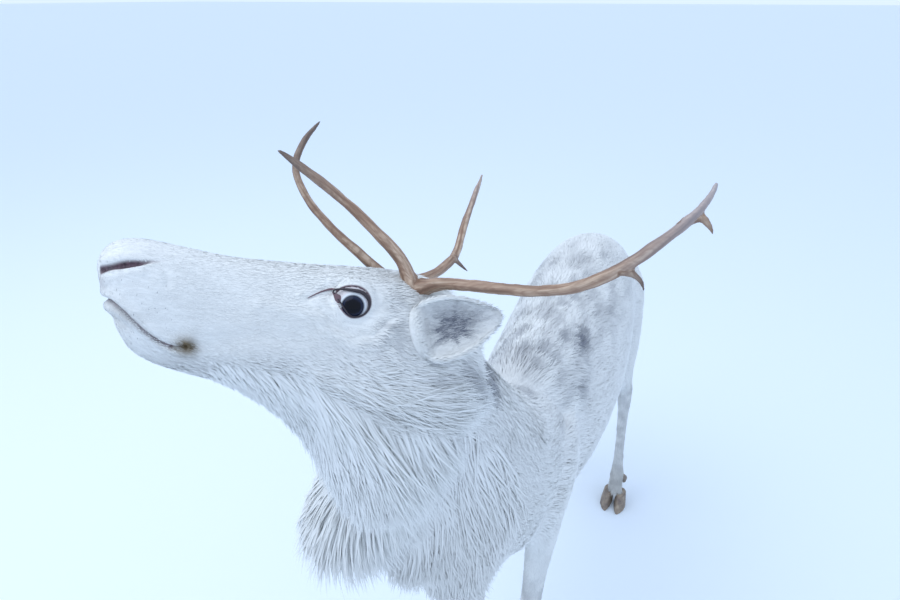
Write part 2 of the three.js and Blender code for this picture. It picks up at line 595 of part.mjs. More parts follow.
function tail() {
  return taperedTube([
    { at: V(-16, 455, 850), radius: 26 }, { at: V(-16, 498, 822), radius: 32 }, { at: V(-16, 522, 775), radius: 33 },
    { at: V(-16, 530, 725), radius: 27 }, { at: V(-16, 527, 690), radius: 14 },
  ], 1, 12);
}

// Parts of the group

const group = new THREE.Group();

function addNode(name, solid, colour, roughness) {
  const body = largest(solid).translate([-ORIGIN.x, -ORIGIN.y, 0]);
  const mesh = body.getMesh();
  const geometry = new THREE.BufferGeometry();
  geometry.setAttribute("position", new THREE.BufferAttribute(new Float32Array(mesh.vertProperties), 3));
  geometry.setIndex(new THREE.BufferAttribute(new Uint32Array(mesh.triVerts), 1));
  const node = new THREE.Mesh(geometry, new THREE.MeshStandardMaterial({ color: colour, roughness, metalness: 0 }));
  node.name = name;
  group.add(node);
}

const jawLocks = beard();
const cutFromHead = [];
const cutFromNeck = [trunk(0, TRUNK.length - 1, GAP), headShape(GAP), ...jawLocks.map((plan) => lock(plan, GAP))];
const cutFromFront = [];
const cutFromRear = [];

// A foot's own pieces, and the leg above it with their places cut out
function addFoot(leg, name, lowest, stance, shift, side, size) {
  const x = side * (stance.x + shift.x);
  const y = stance.y + shift.y;
  for (const [piece, solid] of Object.entries(foot(x, y, side, size))) {
    const [kind, place] = piece.split("_");
    addNode(`${kind}_${leg}_${name}_${place}`, solid, HORN_BLACK, 0.5);
  }
  return lowest.subtract(union(Object.values(foot(x, y, side, size, GAP))));
}

for (const [name, side] of [["left", 1], ["right", -1]]) {
  const beam = side > 0 ? BEAM_LEFT : BEAM_RIGHT;
  const brow = side > 0 ? BROW_LEFT : BROW_RIGHT;
  const snag = side > 0 ? SNAG_LEFT : SNAG_RIGHT;
  const grownBeam = antler(beam, GAP);
  addNode(`antler_${name}_beam`, antler(beam), ANTLER, 0.6);
  addNode(`antler_${name}_brow_tine`, antler(brow).subtract(grownBeam), ANTLER, 0.6);
  addNode(`antler_${name}_snag`, antler(snag).subtract(grownBeam), ANTLER, 0.6);
  if (side > 0) addNode("antler_left_fork_tine", antler(FORK_LEFT).subtract(grownBeam), ANTLER, 0.6);
  addNode(`eye_${name}`, eyeball(side), EYE_DARK, 0.1);
  addNode(`ear_${name}`, ear(side).subtract(grownBeam), GREY_COAT, 0.9);
  cutFromHead.push(grownBeam, antler(brow, GAP), ear(side, GAP), eyeball(side, GAP));

  const foreShift = FORE_SHIFT[name];
  const foreLow = legPart(FORELEG, KNEE, FORELEG.length - 1, side, foreShift);
  const foreLower = addFoot("fore", name, foreLow, FORE_STANCE, foreShift, side, FOOT_SIZE.fore);
  addNode(`foreleg_${name}_lower`, foreLower, GREY_COAT, 0.9);
  addNode(`foreleg_${name}_upper`, legPart(FORELEG, 0, KNEE, side, foreShift), WHITE_COAT, 0.9);
  cutFromFront.push(legPart(FORELEG, 0, KNEE, side, foreShift, GAP));

  const hindShift = HIND_SHIFT[name];
  const hindLow = legPart(HINDLEG, HOCK, HINDLEG.length - 1, side, hindShift);
  const cannon = addFoot("hind", name, hindLow, HIND_STANCE, hindShift, side, FOOT_SIZE.hind);
  addNode(`hindleg_${name}_cannon`, cannon, GREY_COAT, 0.9);
  addNode(`hindleg_${name}_shank`, legPart(HINDLEG, STIFLE, HOCK, side, hindShift), WHITE_COAT, 0.9);
  addNode(`hindleg_${name}_thigh`, legPart(HINDLEG, 0, STIFLE, side, hindShift), WHITE_COAT, 0.9);
  cutFromRear.push(legPart(HINDLEG, 0, STIFLE, side, hindShift, GAP));
  cutFromNeck.push(ear(side, GAP));
}

const front = trunk(0, TRUNK_SPLIT).subtract(union(cutFromFront));
const rear = trunk(TRUNK_SPLIT, TRUNK.length - 1, 0, GAP).subtract(union(cutFromRear));
addNode("torso_front", front, WHITE_COAT, 0.9);
addNode("torso_rear", rear, WHITE_COAT, 0.9);
const wholeTrunk = trunk(0, TRUNK.length - 1, GAP);
addNode("tail", tail().subtract(union([wholeTrunk, ...cutFromRear])), WHITE_COAT, 0.9);

const neck = union([neckShape(), ...ruff().map((plan) => lock(plan))]);
addNode("neck", neck.subtract(union([...cutFromNeck, ...cutFromFront])), WHITE_COAT, 0.9);

const skull = union([headShape(), ...jawLocks.map((plan) => lock(plan))])
  .subtract(union([socket(1), socket(-1)]))
  .add(union([lidRing(1), lidRing(-1), lip(5, 0), lip(-6, 4)]))
  .subtract(union([mouthCut(), nostril(1), nostril(-1), ...cutFromHead]));
addNode("head", skull, WHITE_COAT, 0.85);

export default group;
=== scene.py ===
import math

import bmesh
import bpy
import numpy as np
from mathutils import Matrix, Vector
from mathutils.bvhtree import BVHTree
from mathutils.kdtree import KDTree


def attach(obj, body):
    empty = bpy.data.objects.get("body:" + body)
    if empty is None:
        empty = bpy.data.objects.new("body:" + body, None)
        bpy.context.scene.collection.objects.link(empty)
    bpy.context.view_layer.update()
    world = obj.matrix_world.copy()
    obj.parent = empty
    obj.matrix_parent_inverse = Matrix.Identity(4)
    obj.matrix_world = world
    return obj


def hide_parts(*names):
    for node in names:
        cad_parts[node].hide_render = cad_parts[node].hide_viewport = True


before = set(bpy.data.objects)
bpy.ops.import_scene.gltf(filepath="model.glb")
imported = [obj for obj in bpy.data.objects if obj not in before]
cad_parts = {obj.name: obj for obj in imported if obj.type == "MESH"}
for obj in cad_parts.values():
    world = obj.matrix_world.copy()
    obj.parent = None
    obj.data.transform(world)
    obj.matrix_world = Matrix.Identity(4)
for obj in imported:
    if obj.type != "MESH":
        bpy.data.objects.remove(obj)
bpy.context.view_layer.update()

share_of_coat = 1.0
rng = np.random.default_rng(4)
SIDES = ((1, "left"), (-1, "right"))
MM = 0.001
X, _, Z = np.eye(3)

# ---- The view ----

camera = bpy.data.objects.new("camera", bpy.data.cameras.new("camera"))
camera.location = (0.242, -1.029, 1.500)
camera.rotation_euler = (math.radians(63), 0, math.radians(24))
camera.data.lens = 24
camera.data.sensor_width = 36
camera.data.clip_end = 400
bpy.context.collection.objects.link(camera)
bpy.context.scene.camera = camera
# ---- Small helpers ----


def unit(v):
    return v / np.maximum(np.linalg.norm(v, axis=-1, keepdims=True), 1e-9)


def ease(low, high, x):
    t = np.clip((x - low) / (high - low), 0, 1)
    return t * t * (3 - 2 * t)


def rows_between(rows, n):
    """Catmull-Rom rows: n steps from each row of numbers to the next."""
    rows = np.asarray(rows, float)
    padded = np.vstack([2 * rows[0] - rows[1], rows, 2 * rows[-1] - rows[-2]])
    out = []
    for i in range(len(rows) - 1):
        a, b, c, d = padded[i:i + 4]
        for t in np.arange(n) / n:
            out.append(0.5 * (2 * b + (c - a) * t + (2 * a - 5 * b + 4 * c - d) * t ** 2
                              + (3 * b - a - 3 * c + d) * t ** 3))
    return np.array(out + [rows[-1]])

# The animal's tables are in millimetres, with its midline at x = 0
ORIGIN = np.array([6.0, -180.0, 0.0])


def row(p):
    return (np.asarray(p, float) - ORIGIN) * MM


def egg(centre, side, up, width, top, bottom, lean, n, grow=0.0):
    """A ring in the plane of side and up, wider below where lean is negative."""
    t = 2 * math.pi * np.arange(n) / n
    h = np.sin(t)
    across = (width + grow) * np.cos(t) * (1 + lean * h)
    along = np.where(h > 0, top + grow, bottom + grow) * h
    return centre + across[:, None] * side + along[:, None] * up


def tube(path, radius, n):
    """Rings along a path of points, each square to it."""
    first = Z
    rings = []
    for p, w, r in zip(path, unit(np.gradient(path, axis=0)), radius):
        first = unit(first - w * (first @ w))
        rings.append(egg(p, np.cross(w, first), first, r, r, r, 0, n))
    return np.array(rings)


def add_loft(bm, rings, start=None, end=None):
    """A skin of quads drawn from ring to ring, closed at both ends."""
    n = len(rings[0])
    loop = bmesh.ops.create_circle(bm, segments=n, radius=1)["verts"]
    first = list(loop)
    for v, p in zip(loop, rings[0]):
        v.co = p
    for ring in rings[1:]:
        edges = [bm.edges.get((loop[i], loop[(i + 1) % n])) for i in range(n)]
        made = bmesh.ops.extrude_edge_only(bm, edges=edges)["geom"]
        fresh = {v for v in made if isinstance(v, bmesh.types.BMVert)}
        loop = [next(e.other_vert(v) for e in v.link_edges if e.other_vert(v) in fresh) for v in loop]
        for v, p in zip(loop, ring):
            v.co = p
    for verts, tip in ((first, start), (loop, end)):
        cap = bmesh.ops.contextual_create(bm, geom=verts)["faces"]
        if tip is not None:
            bmesh.ops.poke(bm, faces=cap)["verts"][0].co = tip


def new_object(name, mesh):
    thing = bpy.data.objects.new(name, mesh)
    bpy.context.collection.objects.link(thing)
    return thing


def mesh_of(bm, name):
    """The finished mesh of a bmesh, with its faces turned outwards."""
    bmesh.ops.recalc_face_normals(bm, faces=bm.faces)
    mesh = bpy.data.meshes.new(name)
    bm.to_mesh(mesh)
    bm.free()
    return mesh


def remeshed(bm, voxel, name):
    """The union of the closed shells in bm, as one even mesh."""
    rough = new_object(name, mesh_of(bm, name))
    step = rough.modifiers.new("even", "REMESH")
    step.mode, step.voxel_size, step.adaptivity = "VOXEL", voxel, 0
    mesh = bpy.data.meshes.new_from_object(rough.evaluated_get(bpy.context.evaluated_depsgraph_get()))
    bpy.data.objects.remove(rough)
    return mesh


def read(items, key, kind, width):
    """A row of values from every item of one of a mesh's lists."""
    out = np.empty(len(items) * width, kind)
    items.foreach_get(key, out)
    return out.reshape(-1, width)


def points_of(mesh):
    return read(mesh.vertices, "co", np.float32, 3).astype(float)


def normals_of(mesh):
    return read(mesh.vertex_normals, "vector", np.float32, 3).astype(float)


def edges_of(mesh):
    return read(mesh.edges, "vertices", np.int32, 2)


def set_points(mesh, points):
    mesh.vertices.foreach_set("co", points.astype(np.float32).ravel())
    mesh.update()


def give(mesh, name, kind, values):
    """A value at each of a mesh's points, which its finish reads."""
    key = {"FLOAT": "value", "FLOAT_VECTOR": "vector", "FLOAT_COLOR": "color"}[kind]
    mesh.attributes.new(name, kind, "POINT").data.foreach_set(key, np.asarray(values, np.float32).ravel())


def give_box(mesh):
    """Each point's place in the mesh's own box, 0 to 1, for fine noise."""
    points = points_of(mesh)
    give(mesh, "box", "FLOAT_VECTOR", (points - points.min(0)) / np.ptp(points, axis=0))


def place_piece(name, mesh, material, nodes):
    """The mesh as a smooth, finished piece that stands in for some of the frame's nodes."""
    mesh.polygons.foreach_set("use_smooth", np.ones(len(mesh.polygons), bool))
    mesh.materials.append(material)
    piece = new_object(name, mesh)
    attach(piece, "root")
    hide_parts(*nodes)


def relax(values, edges, times, share=0.5):
    """Laplacian smoothing of any values kept at the mesh's points."""
    n = len(values)
    a, b = edges.T
    degree = np.bincount(edges.ravel(), minlength=n)[:, None].clip(1)
    for _ in range(times):
        total = np.stack([np.bincount(a, v[b], n) + np.bincount(b, v[a], n) for v in values.T], 1)
        values = values + share * (total / degree - values)
    return values


def nearest_of(points, kept):
    """For each point the number of the nearest kept one."""
    tree = KDTree(len(kept))
    for i, p in enumerate(kept):
        tree.insert(p, i)
    tree.balance()
    return np.array([tree.find(p)[1] for p in points])


def areas(points, tris):
    a, b, c = (points[tris[:, k]] for k in range(3))
    return 0.5 * np.linalg.norm(np.cross(b - a, c - a), axis=1)


def blend(values, corners, share):
    """Values at places inside triangles, from those at their corners."""
    return (values[corners] * share.reshape(share.shape + (1,) * (values.ndim - 1))).sum(1)


def blob(points, centre, size):
    """1 at the centre, and next to nothing at twice the size."""
    return np.exp(-np.linalg.norm((points - centre) / size, axis=1) ** 2)


def from_path(points, path):
    """Distance of each point from a path, and how far along it the nearest place is (0 to 1)."""
    path = np.asarray(path, float)
    best = np.full(len(points), np.inf)
    place = np.zeros(len(points))
    for i in range(len(path) - 1):
        a, ab = path[i], path[i + 1] - path[i]
        t = np.clip((points - a) @ ab / (ab @ ab), 0, 1)
        d = np.linalg.norm(points - a - t[:, None] * ab, axis=1)
        place = np.where(d < best, (i + t) / (len(path) - 1), place)
        best = np.minimum(best, d)
    return best, place


def waves(points, size, seed):
    """Smooth noise from a few crossed waves, about -1 to 1, with features of the given size."""
    dice = np.random.default_rng(seed)
    total = np.zeros(len(points))
    for _ in range(9):
        k = unit(dice.normal(size=3)) * 2 * math.pi / (size * dice.uniform(0.7, 1.6))
        total += np.sin(points @ k + dice.uniform(0, 2 * math.pi))
    return total / 3

# ---- The head's axes ----

HEAD_AT = np.array([-24.0, -718.0, 1243.0])
YAW, PITCH, ROLL = (math.radians(a) for a in (52, 15, 23.5))
NOSE = np.array([-math.sin(YAW) * math.cos(PITCH), -math.cos(YAW) * math.cos(PITCH), math.sin(PITCH)])
LEVEL_LEFT = np.array([math.cos(YAW), -math.sin(YAW), 0])
LEFT = LEVEL_LEFT * math.cos(ROLL) + np.cross(NOSE, LEVEL_LEFT) * math.sin(ROLL)
CROWN = np.cross(NOSE, LEFT)
HEAD_AXES = np.array([NOSE, LEFT, CROWN])


def on_head(p):
    return row(HEAD_AT + np.asarray(p, float) @ HEAD_AXES)


def in_head(points):
    """Places in metres as millimetres along the head's nose, left and crown axes."""
    return (points * 1000 + ORIGIN - HEAD_AT) @ HEAD_AXES.T


def both_sides(points):
    return points * np.array([1, 0, 1]) + np.abs(points) * np.array([0, 1, 0])


# ---- The body's forms ----

# y, z, width, top, bottom, lean, x
TRUNK = [
    (-548, 715, 24, 38, 42, 0, 0), (-525, 715, 62, 90, 92, .05, 0), (-480, 715, 90, 140, 140, .05, 0),
    (-410, 715, 98, 190, 188, .02, -1), (-320, 715, 112, 222, 212, -.02, -2), (-200, 710, 140, 222, 218, -.06, -4),
    (-60, 705, 156, 220, 218, -.08, -7), (80, 710, 163, 222, 212, -.06, -12), (200, 725, 158, 215, 196, 0, -15),
    (310, 748, 144, 190, 170, .04, -17), (400, 768, 119, 148, 136, .06, -17), (462, 780, 84, 98, 100, .05, -16),
    (496, 782, 46, 54, 58, 0, -16), (506, 780, 15, 18, 22, 0, -16),
]
# x, top, brow width and height, cheek, jaw, bottom, rake
HEAD = [
    (-82, -34, 26, -40, 42, -74, 30, -112, -124, 0), (-50, -10, 36, -18, 58, -60, 46, -120, -158, 0),
    (-15, 3, 44, -7, 66, -52, 54, -126, -176, 0), (22, 5, 49, -8, 66, -52, 54, -121, -176, 0),
    (57, 3, 48, -10, 60, -46, 49, -110, -162, 0), (92, 0, 35, -9, 51, -48, 43, -102, -142, .02),
    (128, -2, 26, -9, 44, -48, 40, -102, -129, .06), (165, -3, 24, -10, 40, -46, 38, -98, -122, .12),
    (200, 0, 26, -8, 42, -42, 37, -96, -119, .2), (228, 2, 30, -7, 44, -38, 36, -93, -115, .3),
    (247, -2, 29, -11, 41, -38, 32, -89, -110, .34), (260, -11, 23, -18, 32, -39, 25, -82, -100, .34),
    (268, -22, 13, -27, 18, -40, 15, -65, -76, .34),
]
# x, y, z, tilt, yaw, width, top, bottom, lean
NECK = [
    (0, -330, 740, 10, 0, 108, 140, 140, 0), (0, -415, 772, 26, 3, 110, 146, 196, .05),
    (-3, -505, 850, 38, 10, 100, 120, 220, .1), (-10, -580, 945, 44, 18, 90, 104, 200, .1),
    (-17, -642, 1035, 46, 30, 82, 90, 212, .08), (-12, -690, 1110, 40, 42, 76, 72, 228, 0),
    (2, -718, 1163, 34, 50, 64, 46, 196, -.05),
]
# x, y, z, tilt, width, front, back
FORELEG = [
    (68, -350, 815, 0, 32, 66, 66), (75, -345, 760, 0, 40, 88, 86), (76, -340, 680, 0, 40, 100, 94),
    (71, -342, 600, 0, 36, 84, 84), (67, -345, 520, 0, 32, 58, 63), (63, -352, 440, 0, 28, 41, 44),
    (61, -358, 370, 0, 26, 31, 31), (60, -360, 325, 0, 26.5, 33, 29), (60, -360, 285, 0, 24, 29, 27),
    (60, -359, 230, 0, 19, 20, 23), (60, -360, 155, 0, 19, 19, 23), (60, -362, 105, 4, 25, 24, 30),
    (60, -371, 75, 20, 26, 25, 27), (60, -385, 42, 22, 29, 25, 26),
]
HINDLEG = [
    (74, 345, 850, 0, 38, 90, 70), (86, 345, 785, 2, 58, 138, 118), (92, 338, 705, 8, 62, 148, 142),
    (98, 322, 625, 18, 56, 122, 132), (104, 318, 560, 30, 44, 88, 88), (109, 350, 500, 42, 34, 52, 46),
    (112, 390, 450, 42, 27, 35, 34), (114, 416, 405, 24, 25, 34, 36), (115, 424, 360, 4, 24, 29, 31),
    (117, 419, 295, -6, 20, 22, 24), (121, 404, 205, -8, 19, 20, 23), (124, 392, 140, -6, 20, 20, 25),
    (126, 385, 105, 4, 25, 24, 30), (127, 374, 75, 20, 26, 25, 27), (128, 358, 42, 22, 29, 25, 26),
]
# how far each foot stands from its place in a square stance, and how far the hip above it is swung
LEG_SHIFTS = {("fore", 1): (-4, 8, 0), ("fore", -1): (4, -26, 0), ("hind", 1): (16, -4, -14),
              ("hind", -1): (-2, 22, -14)}
# x, y, z, radius
TAIL = [(-16, 455, 850, 26), (-16, 498, 822, 32), (-16, 522, 775, 33), (-16, 530, 725, 27), (-16, 527, 690, 14)]


def head_ring(s, n, grow):
    x, top, brow_w, brow_z, cheek_w, cheek_z, jaw_w, jaw_z, bottom, rake = s
    half = [(0, top + grow), (brow_w + grow, brow_z + grow), (cheek_w + grow, cheek_z),
            (jaw_w + grow, jaw_z - grow), (0, bottom - grow)]
    outline = np.array(half + [(-w, z) for w, z in half[3:0:-1]])
    return closed_curve(outline, n) @ np.array([[0, 1, 0], [rake, 0, 1]]) + np.array([x + rake * 40, 0, 0])


def closed_curve(corners, n):
    """n even steps round a closed centripetal Catmull-Rom curve."""
    count = len(corners)
    out = []
    for i in range(n):
        at = i / n * count
        k, t = int(at), at - int(at)
        p0, p1, p2, p3 = (corners[(k + j) % count] for j in (-1, 0, 1, 2))
        d0, d1, d2 = (max(np.linalg.norm(b - a) ** 0.5, 1e-4) for a, b in ((p0, p1), (p1, p2), (p2, p3)))
        m1 = ((p1 - p0) / d0 - (p2 - p0) / (d0 + d1) + (p2 - p1) / d1) * d1
        m2 = ((p2 - p1) / d1 - (p3 - p1) / (d1 + d2) + (p3 - p2) / d2) * d1
        out.append((2 * t ** 3 - 3 * t ** 2 + 1) * p1 + (t ** 3 - 2 * t ** 2 + t) * m1
                   + (3 * t ** 2 - 2 * t ** 3) * p2 + (t ** 3 - t ** 2) * m2)
    return np.array(out)


def neck_axes(s):
    yaw, tilt = math.radians(s[4]), math.radians(s[3])
    across = np.array([math.cos(yaw), -math.sin(yaw), 0])
    crest = np.array([math.sin(yaw) * math.sin(tilt), math.cos(yaw) * math.sin(tilt), math.cos(tilt)])
    return s[:3], across, crest


def leg_ring(s, side, shift, n, grow):
    x, y, z, tilt, width, front, back = s
    share = min(1, max(0, (700 - z) / 700))
    tilt = math.radians(tilt)
    sway = shift[2] * min(1, max(0, (z - 420) / 280))
    centre = np.array([side * (x + shift[0] * share) + sway, y + shift[1] * share, z])
    return egg(centre, side * X, np.array([0, -math.cos(tilt), -math.sin(tilt)]), width, front, back, 0, n, grow)


class Form:
    """Rings, with the way that the coat lies on them and each place's distance along and round them."""

    def __init__(self, rings, start, end, lie, patch):
        self.rings, self.start, self.end = rings, start, end
        count, n = rings.shape[:2]
        steps = np.linalg.norm(np.diff(rings.mean(1), axis=0), axis=1)
        along = np.concatenate([[0], np.cumsum(steps)])
        girth = np.linalg.norm(rings - np.roll(rings, 1, axis=1), axis=2).sum(1)
        turn = np.arange(n) / n - 0.5
        self.points = rings.reshape(-1, 3)
        self.lie = np.broadcast_to(lie, (count, 3)).repeat(n, axis=0)
        self.place = np.stack([np.repeat(along, n), (girth[:, None] * turn[None, :]).ravel()], 1)
        self.patch = np.full(len(self.points), patch)


# How far the skin lies inside the coat's surface, in millimetres
COAT_DEPTH = {"trunk": 13, "neck": 14, "head": 2.0, "leg": 3.5, "tail": 9}
# Which part of the animal a place is on; the four legs are 3 to 6
TRUNK_PATCH, HEAD_PATCH, NECK_PATCH, TAIL_PATCH = 0, 1, 2, 7


def trunk_form():
    grow = -COAT_DEPTH["trunk"]
    rings = [row(egg(np.array([x, y, z]), X, Z, w, t, b, lean, 56, grow))
             for y, z, w, t, b, lean, x in rows_between(TRUNK, 4)]
    return Form(np.array(rings), row((0, -552 - grow, 713)), row((-16, 509 + grow, 779)),
                np.array([0, 1, -0.35]), TRUNK_PATCH)


def head_form(rows=6, n=72):
    grow = -COAT_DEPTH["head"]
    rings = [on_head(head_ring(s, n, grow)) for s in rows_between(HEAD, rows)]
    return Form(np.array(rings), on_head((-84 - grow, 0, -78)), on_head((271 + grow, 0, -41)),
                -NOSE - 0.12 * Z, HEAD_PATCH)


def neck_form():
    rows = rows_between(NECK, 5)
    rings = [row(egg(*neck_axes(s), *s[5:9], 52, -COAT_DEPTH["neck"])) for s in rows]
    down_neck = unit(rows[0, :3] - rows[-1, :3])
    low = ease(-560, -440, rows[:, 1])[:, None]
    lie = (down_neck - 0.45 * Z) * (1 - low) + np.array([0, 1, -0.25]) * low
    return Form(np.array(rings), row(rows[0, :3]), row(rows[-1, :3]), lie, NECK_PATCH)


def leg_form(kind, side):
    rows = rows_between(FORELEG if kind == "fore" else HINDLEG, 4)
    grow = -COAT_DEPTH["leg"]
    rings = np.array([row(leg_ring(s, side, LEG_SHIFTS[kind, side], 28, grow if s[2] > 60 else grow * 0.5))
                      for s in rows])
    high = ease(500, 640, rows[:, 2])[:, None]
    lie = np.array([0, 0.22, -1.0]) * (1 - high) + np.array([0, 1, -0.35]) * high
    return Form(rings, rings[0].mean(0), rings[-1].mean(0), lie, 3 + 2 * (kind == "hind") + (side < 0))


def tail_form():
    path = rows_between(TAIL, 4)
    rings = tube(row(path[:, :3]), (path[:, 3] - COAT_DEPTH["tail"]) * MM, 28)
    way = unit(np.gradient(path[:, :3], axis=0))
    return Form(rings, row(path[0, :3]), row(path[-1, :3]), way, TAIL_PATCH)


forms = [trunk_form(), neck_form(), head_form(), tail_form()]
forms += [leg_form(kind, side) for kind in ("fore", "hind") for side, _ in SIDES]

# ---- The skin: one closed surface over all the forms ----

body_bm = bmesh.new()
for form in forms:
    add_loft(body_bm, form.rings, form.start, form.end)
form_tree = BVHTree.FromBMesh(body_bm)
skin_mesh = remeshed(body_bm, 0.009, "skin")


def onto(points, tree, reach, weight):
    """Draw points that are near a surface onto it."""
    out = points.copy()
    for i in np.flatnonzero(weight >= 0.02):
        spot, _, _, far = tree.find_nearest(Vector(points[i]), reach)
        if spot is not None:
            out[i] += (np.array(spot) - points[i]) * ((1 - ease(reach * 0.45, reach, far)) * weight[i])
    return out


skin_edges = edges_of(skin_mesh)
skin_points = relax(points_of(skin_mesh), skin_edges, 5)
skin_points = onto(skin_points, form_tree, 0.010, np.ones(len(skin_points)))
set_points(skin_mesh, relax(skin_points, skin_edges, 2, 0.4))

# The head's surface is divided finer, and finest round the eyes, nostrils and mouth
MOUTH = [(192, 37, -89), (199, 36, -89.5), (204, 35.8, -89.3), (210, 36.2, -87.5), (215, 37, -85.3), (220, 38, -82.5),
         (225, 38.5, -79), (231, 38.8, -74), (236, 38.6, -70), (242, 37.5, -65), (248, 35.5, -61), (254, 31, -57.5),
         (259, 24, -56.5), (263, 14, -56.5), (265, 0, -57)]
NOSTRIL = [(265, 24, -32), (260, 28.5, -30.3), (255, 32, -28.2), (249, 35.5, -25.6), (241, 38.3, -22.3),
           (233, 38.8, -19.6), (226.5, 37.5, -17.2), (219, 35.5, -15.6), (208, 33, -13.6)]
SLIT = [(75.4, 51.6, -20.7), (80, 48.4, -23.2), (86, 48, -26.7), (91, 47.5, -30), (95.6, 46.9, -33)]
EYE = np.array([53.0, 43.0, -33.0])
EYE_RADIUS = 19.5


def refine(mesh, chosen):
    """Divide the chosen faces once, by a test of their middle points on the head's axes."""
    bm = bmesh.new()
    bm.from_mesh(mesh)
    centres = in_head(np.array([f.calc_center_median() for f in bm.faces]))
    pick = chosen(centres)
    edges = {e for f, take in zip(bm.faces, pick) if take for e in f.edges}
    bmesh.ops.subdivide_edges(bm, edges=list(edges), cuts=1, use_grid_fill=True)
    bmesh.ops.triangulate(bm, faces=[f for f in bm.faces if len(f.verts) > 4])
    bm.to_mesh(mesh)
    bm.free()


def near_face(p):
    return (p[:, 0] > -70) & (p[:, 0] < 290) & (np.abs(p[:, 1]) < 85) & (p[:, 2] > -165) & (p[:, 2] < 40)


def near_features(p):
    q = both_sides(p)
    eye = np.linalg.norm(q - (EYE + [3, 15, 0]), axis=1) < 34
    return eye | (from_path(q, MOUTH)[0] < 11) | (from_path(q, NOSTRIL)[0] < 13) | (from_path(q, SLIT)[0] < 9)


for test in (near_face, lambda p: near_face(p) & (p[:, 0] > -45), near_features):
    refine(skin_mesh, test)

fine_head = bmesh.new()
fine = head_form(12, 120)
add_loft(fine_head, fine.rings, fine.start, fine.end)
head_tree = BVHTree.FromBMesh(fine_head)
fine_head.free()

skin_points = points_of(skin_mesh)
local = in_head(skin_points)
skin_points = onto(skin_points, head_tree, 0.011, ease(-60, -20, local[:, 0]) * near_face(local))
skin_edges = edges_of(skin_mesh)
skin_points = relax(skin_points, skin_edges, 3)
set_points(skin_mesh, skin_points)

# ---- The face: grooves and swellings on the head's axes, in millimetres ----

# path, width, depth (a swelling where it is negative); all are on both sides
CREASES = [
    (MOUTH, 2.0, 4.6),
    ([(x - 1, y, z + 6.5) for x, y, z in MOUTH], 4.5, -1.8),
    ([(x - 4, y, z - 6.0) for x, y, z in MOUTH], 4.6, -2.2),
    ([(x - 9, y * .9, z - 15) for x, y, z in MOUTH[3:]], 4.0, 1.2),
    ([(x, y + 1, z + 8.5) for x, y, z in NOSTRIL[:6]], 4.5, -2.2),
    ([(x, y + 1, z - 8.5) for x, y, z in NOSTRIL[:6]], 4.5, -1.2),
    ([(222, 36, -16), (214, 39, -24), (212, 41, -36)], 4.0, 1.0),
    ([(268, 0, -26), (267, 0, -40), (266, 0, -55)], 2.6, 1.3),
    (SLIT, 2.2, 3.0),
    ([(76, 51, -15), (92, 46, -22), (104, 43, -31)], 3.4, -1.0),
    ([(26, 60, -22), (36, 60, -12), (52, 58, -8), (68, 53, -12)], 5.0, -2.4),
    ([(24, 64, -42), (34, 63, -56), (52, 60, -61), (70, 55, -54), (84, 50, -42)], 3.0, 1.1),
    ([(20, 65, -50), (34, 63, -66), (56, 59, -70), (78, 53, -60)], 5.0, -1.2),
    ([(84, 50, -48), (112, 46, -46), (136, 42, -44)], 8.0, -1.8),
    ([(100, 46, -70), (140, 41, -72), (186, 38, -88)], 9.0, 1.4),
    ([(-6, 52, -110), (30, 52, -116), (80, 44, -104)], 12.0, -2.0),
    ([(66, 34, -6), (96, 28, -5), (130, 22, -5)], 9.0, 0.8),
]
smooth_points = skin_points.copy()
skin_normals = normals_of(skin_mesh)
local = both_sides(in_head(skin_points))
push = np.zeros(len(skin_points))
on_face = near_face(local)
for path, width, depth in CREASES:
    far, _ = from_path(local[on_face], path)
    push[on_face] -= depth * np.exp(-(far / width) ** 2)
far, place = from_path(local[on_face], NOSTRIL)
nostril_width = np.interp(place, [0, .3, .6, 1], [2.4, 3.2, 3.0, 2.2])
nostril_depth = np.interp(place, [0, .3, .6, 1], [3.5, 5.5, 5.0, 2.6])
push[on_face] -= nostril_depth * np.exp(-(far / nostril_width) ** 4)
push += 3.0 * blob(local, [28, 62, -84], [46, 40, 34]) * on_face
skin_points += skin_normals * push[:, None] * MM

# The lids: the skin hugs the eyeball round an almond opening, and drops behind the ball inside it
ALMOND = {"half_length": 13.2, "half_height": 11.8, "corner": 6.4, "corner_rise": 8.8, "ahead": 2.2, "up": 0.5}


def almond(n):
    """The opening's edge round the eye, as nose and crown distances from the eyeball's centre."""
    t = 2 * math.pi * np.arange(n) / n
    front = np.maximum(0, np.cos(t))
    across = ALMOND["half_length"] * np.cos(t) + ALMOND["corner"] * front ** 4
    rise = ALMOND["half_height"] * np.sin(t) * (1 - 0.35 * front ** 3) + ALMOND["corner_rise"] * front ** 2
    return np.stack([across + ALMOND["ahead"], rise + ALMOND["up"]], 1)


def opening_share(nose, crown):
    """How far out a place is from the opening's middle, where 1 is its edge."""
    edge = almond(90) - [ALMOND["ahead"], ALMOND["up"]]
    angle = np.arctan2(edge[:, 1], edge[:, 0])
    order = np.argsort(angle)
    a, r = angle[order], np.linalg.norm(edge, axis=1)[order]
    a = np.concatenate([a - 2 * math.pi, a, a + 2 * math.pi])
    r = np.tile(r, 3)
    u, w = nose - ALMOND["ahead"], crown - ALMOND["up"]
    return np.hypot(u, w) / np.interp(np.arctan2(w, u), a, r)


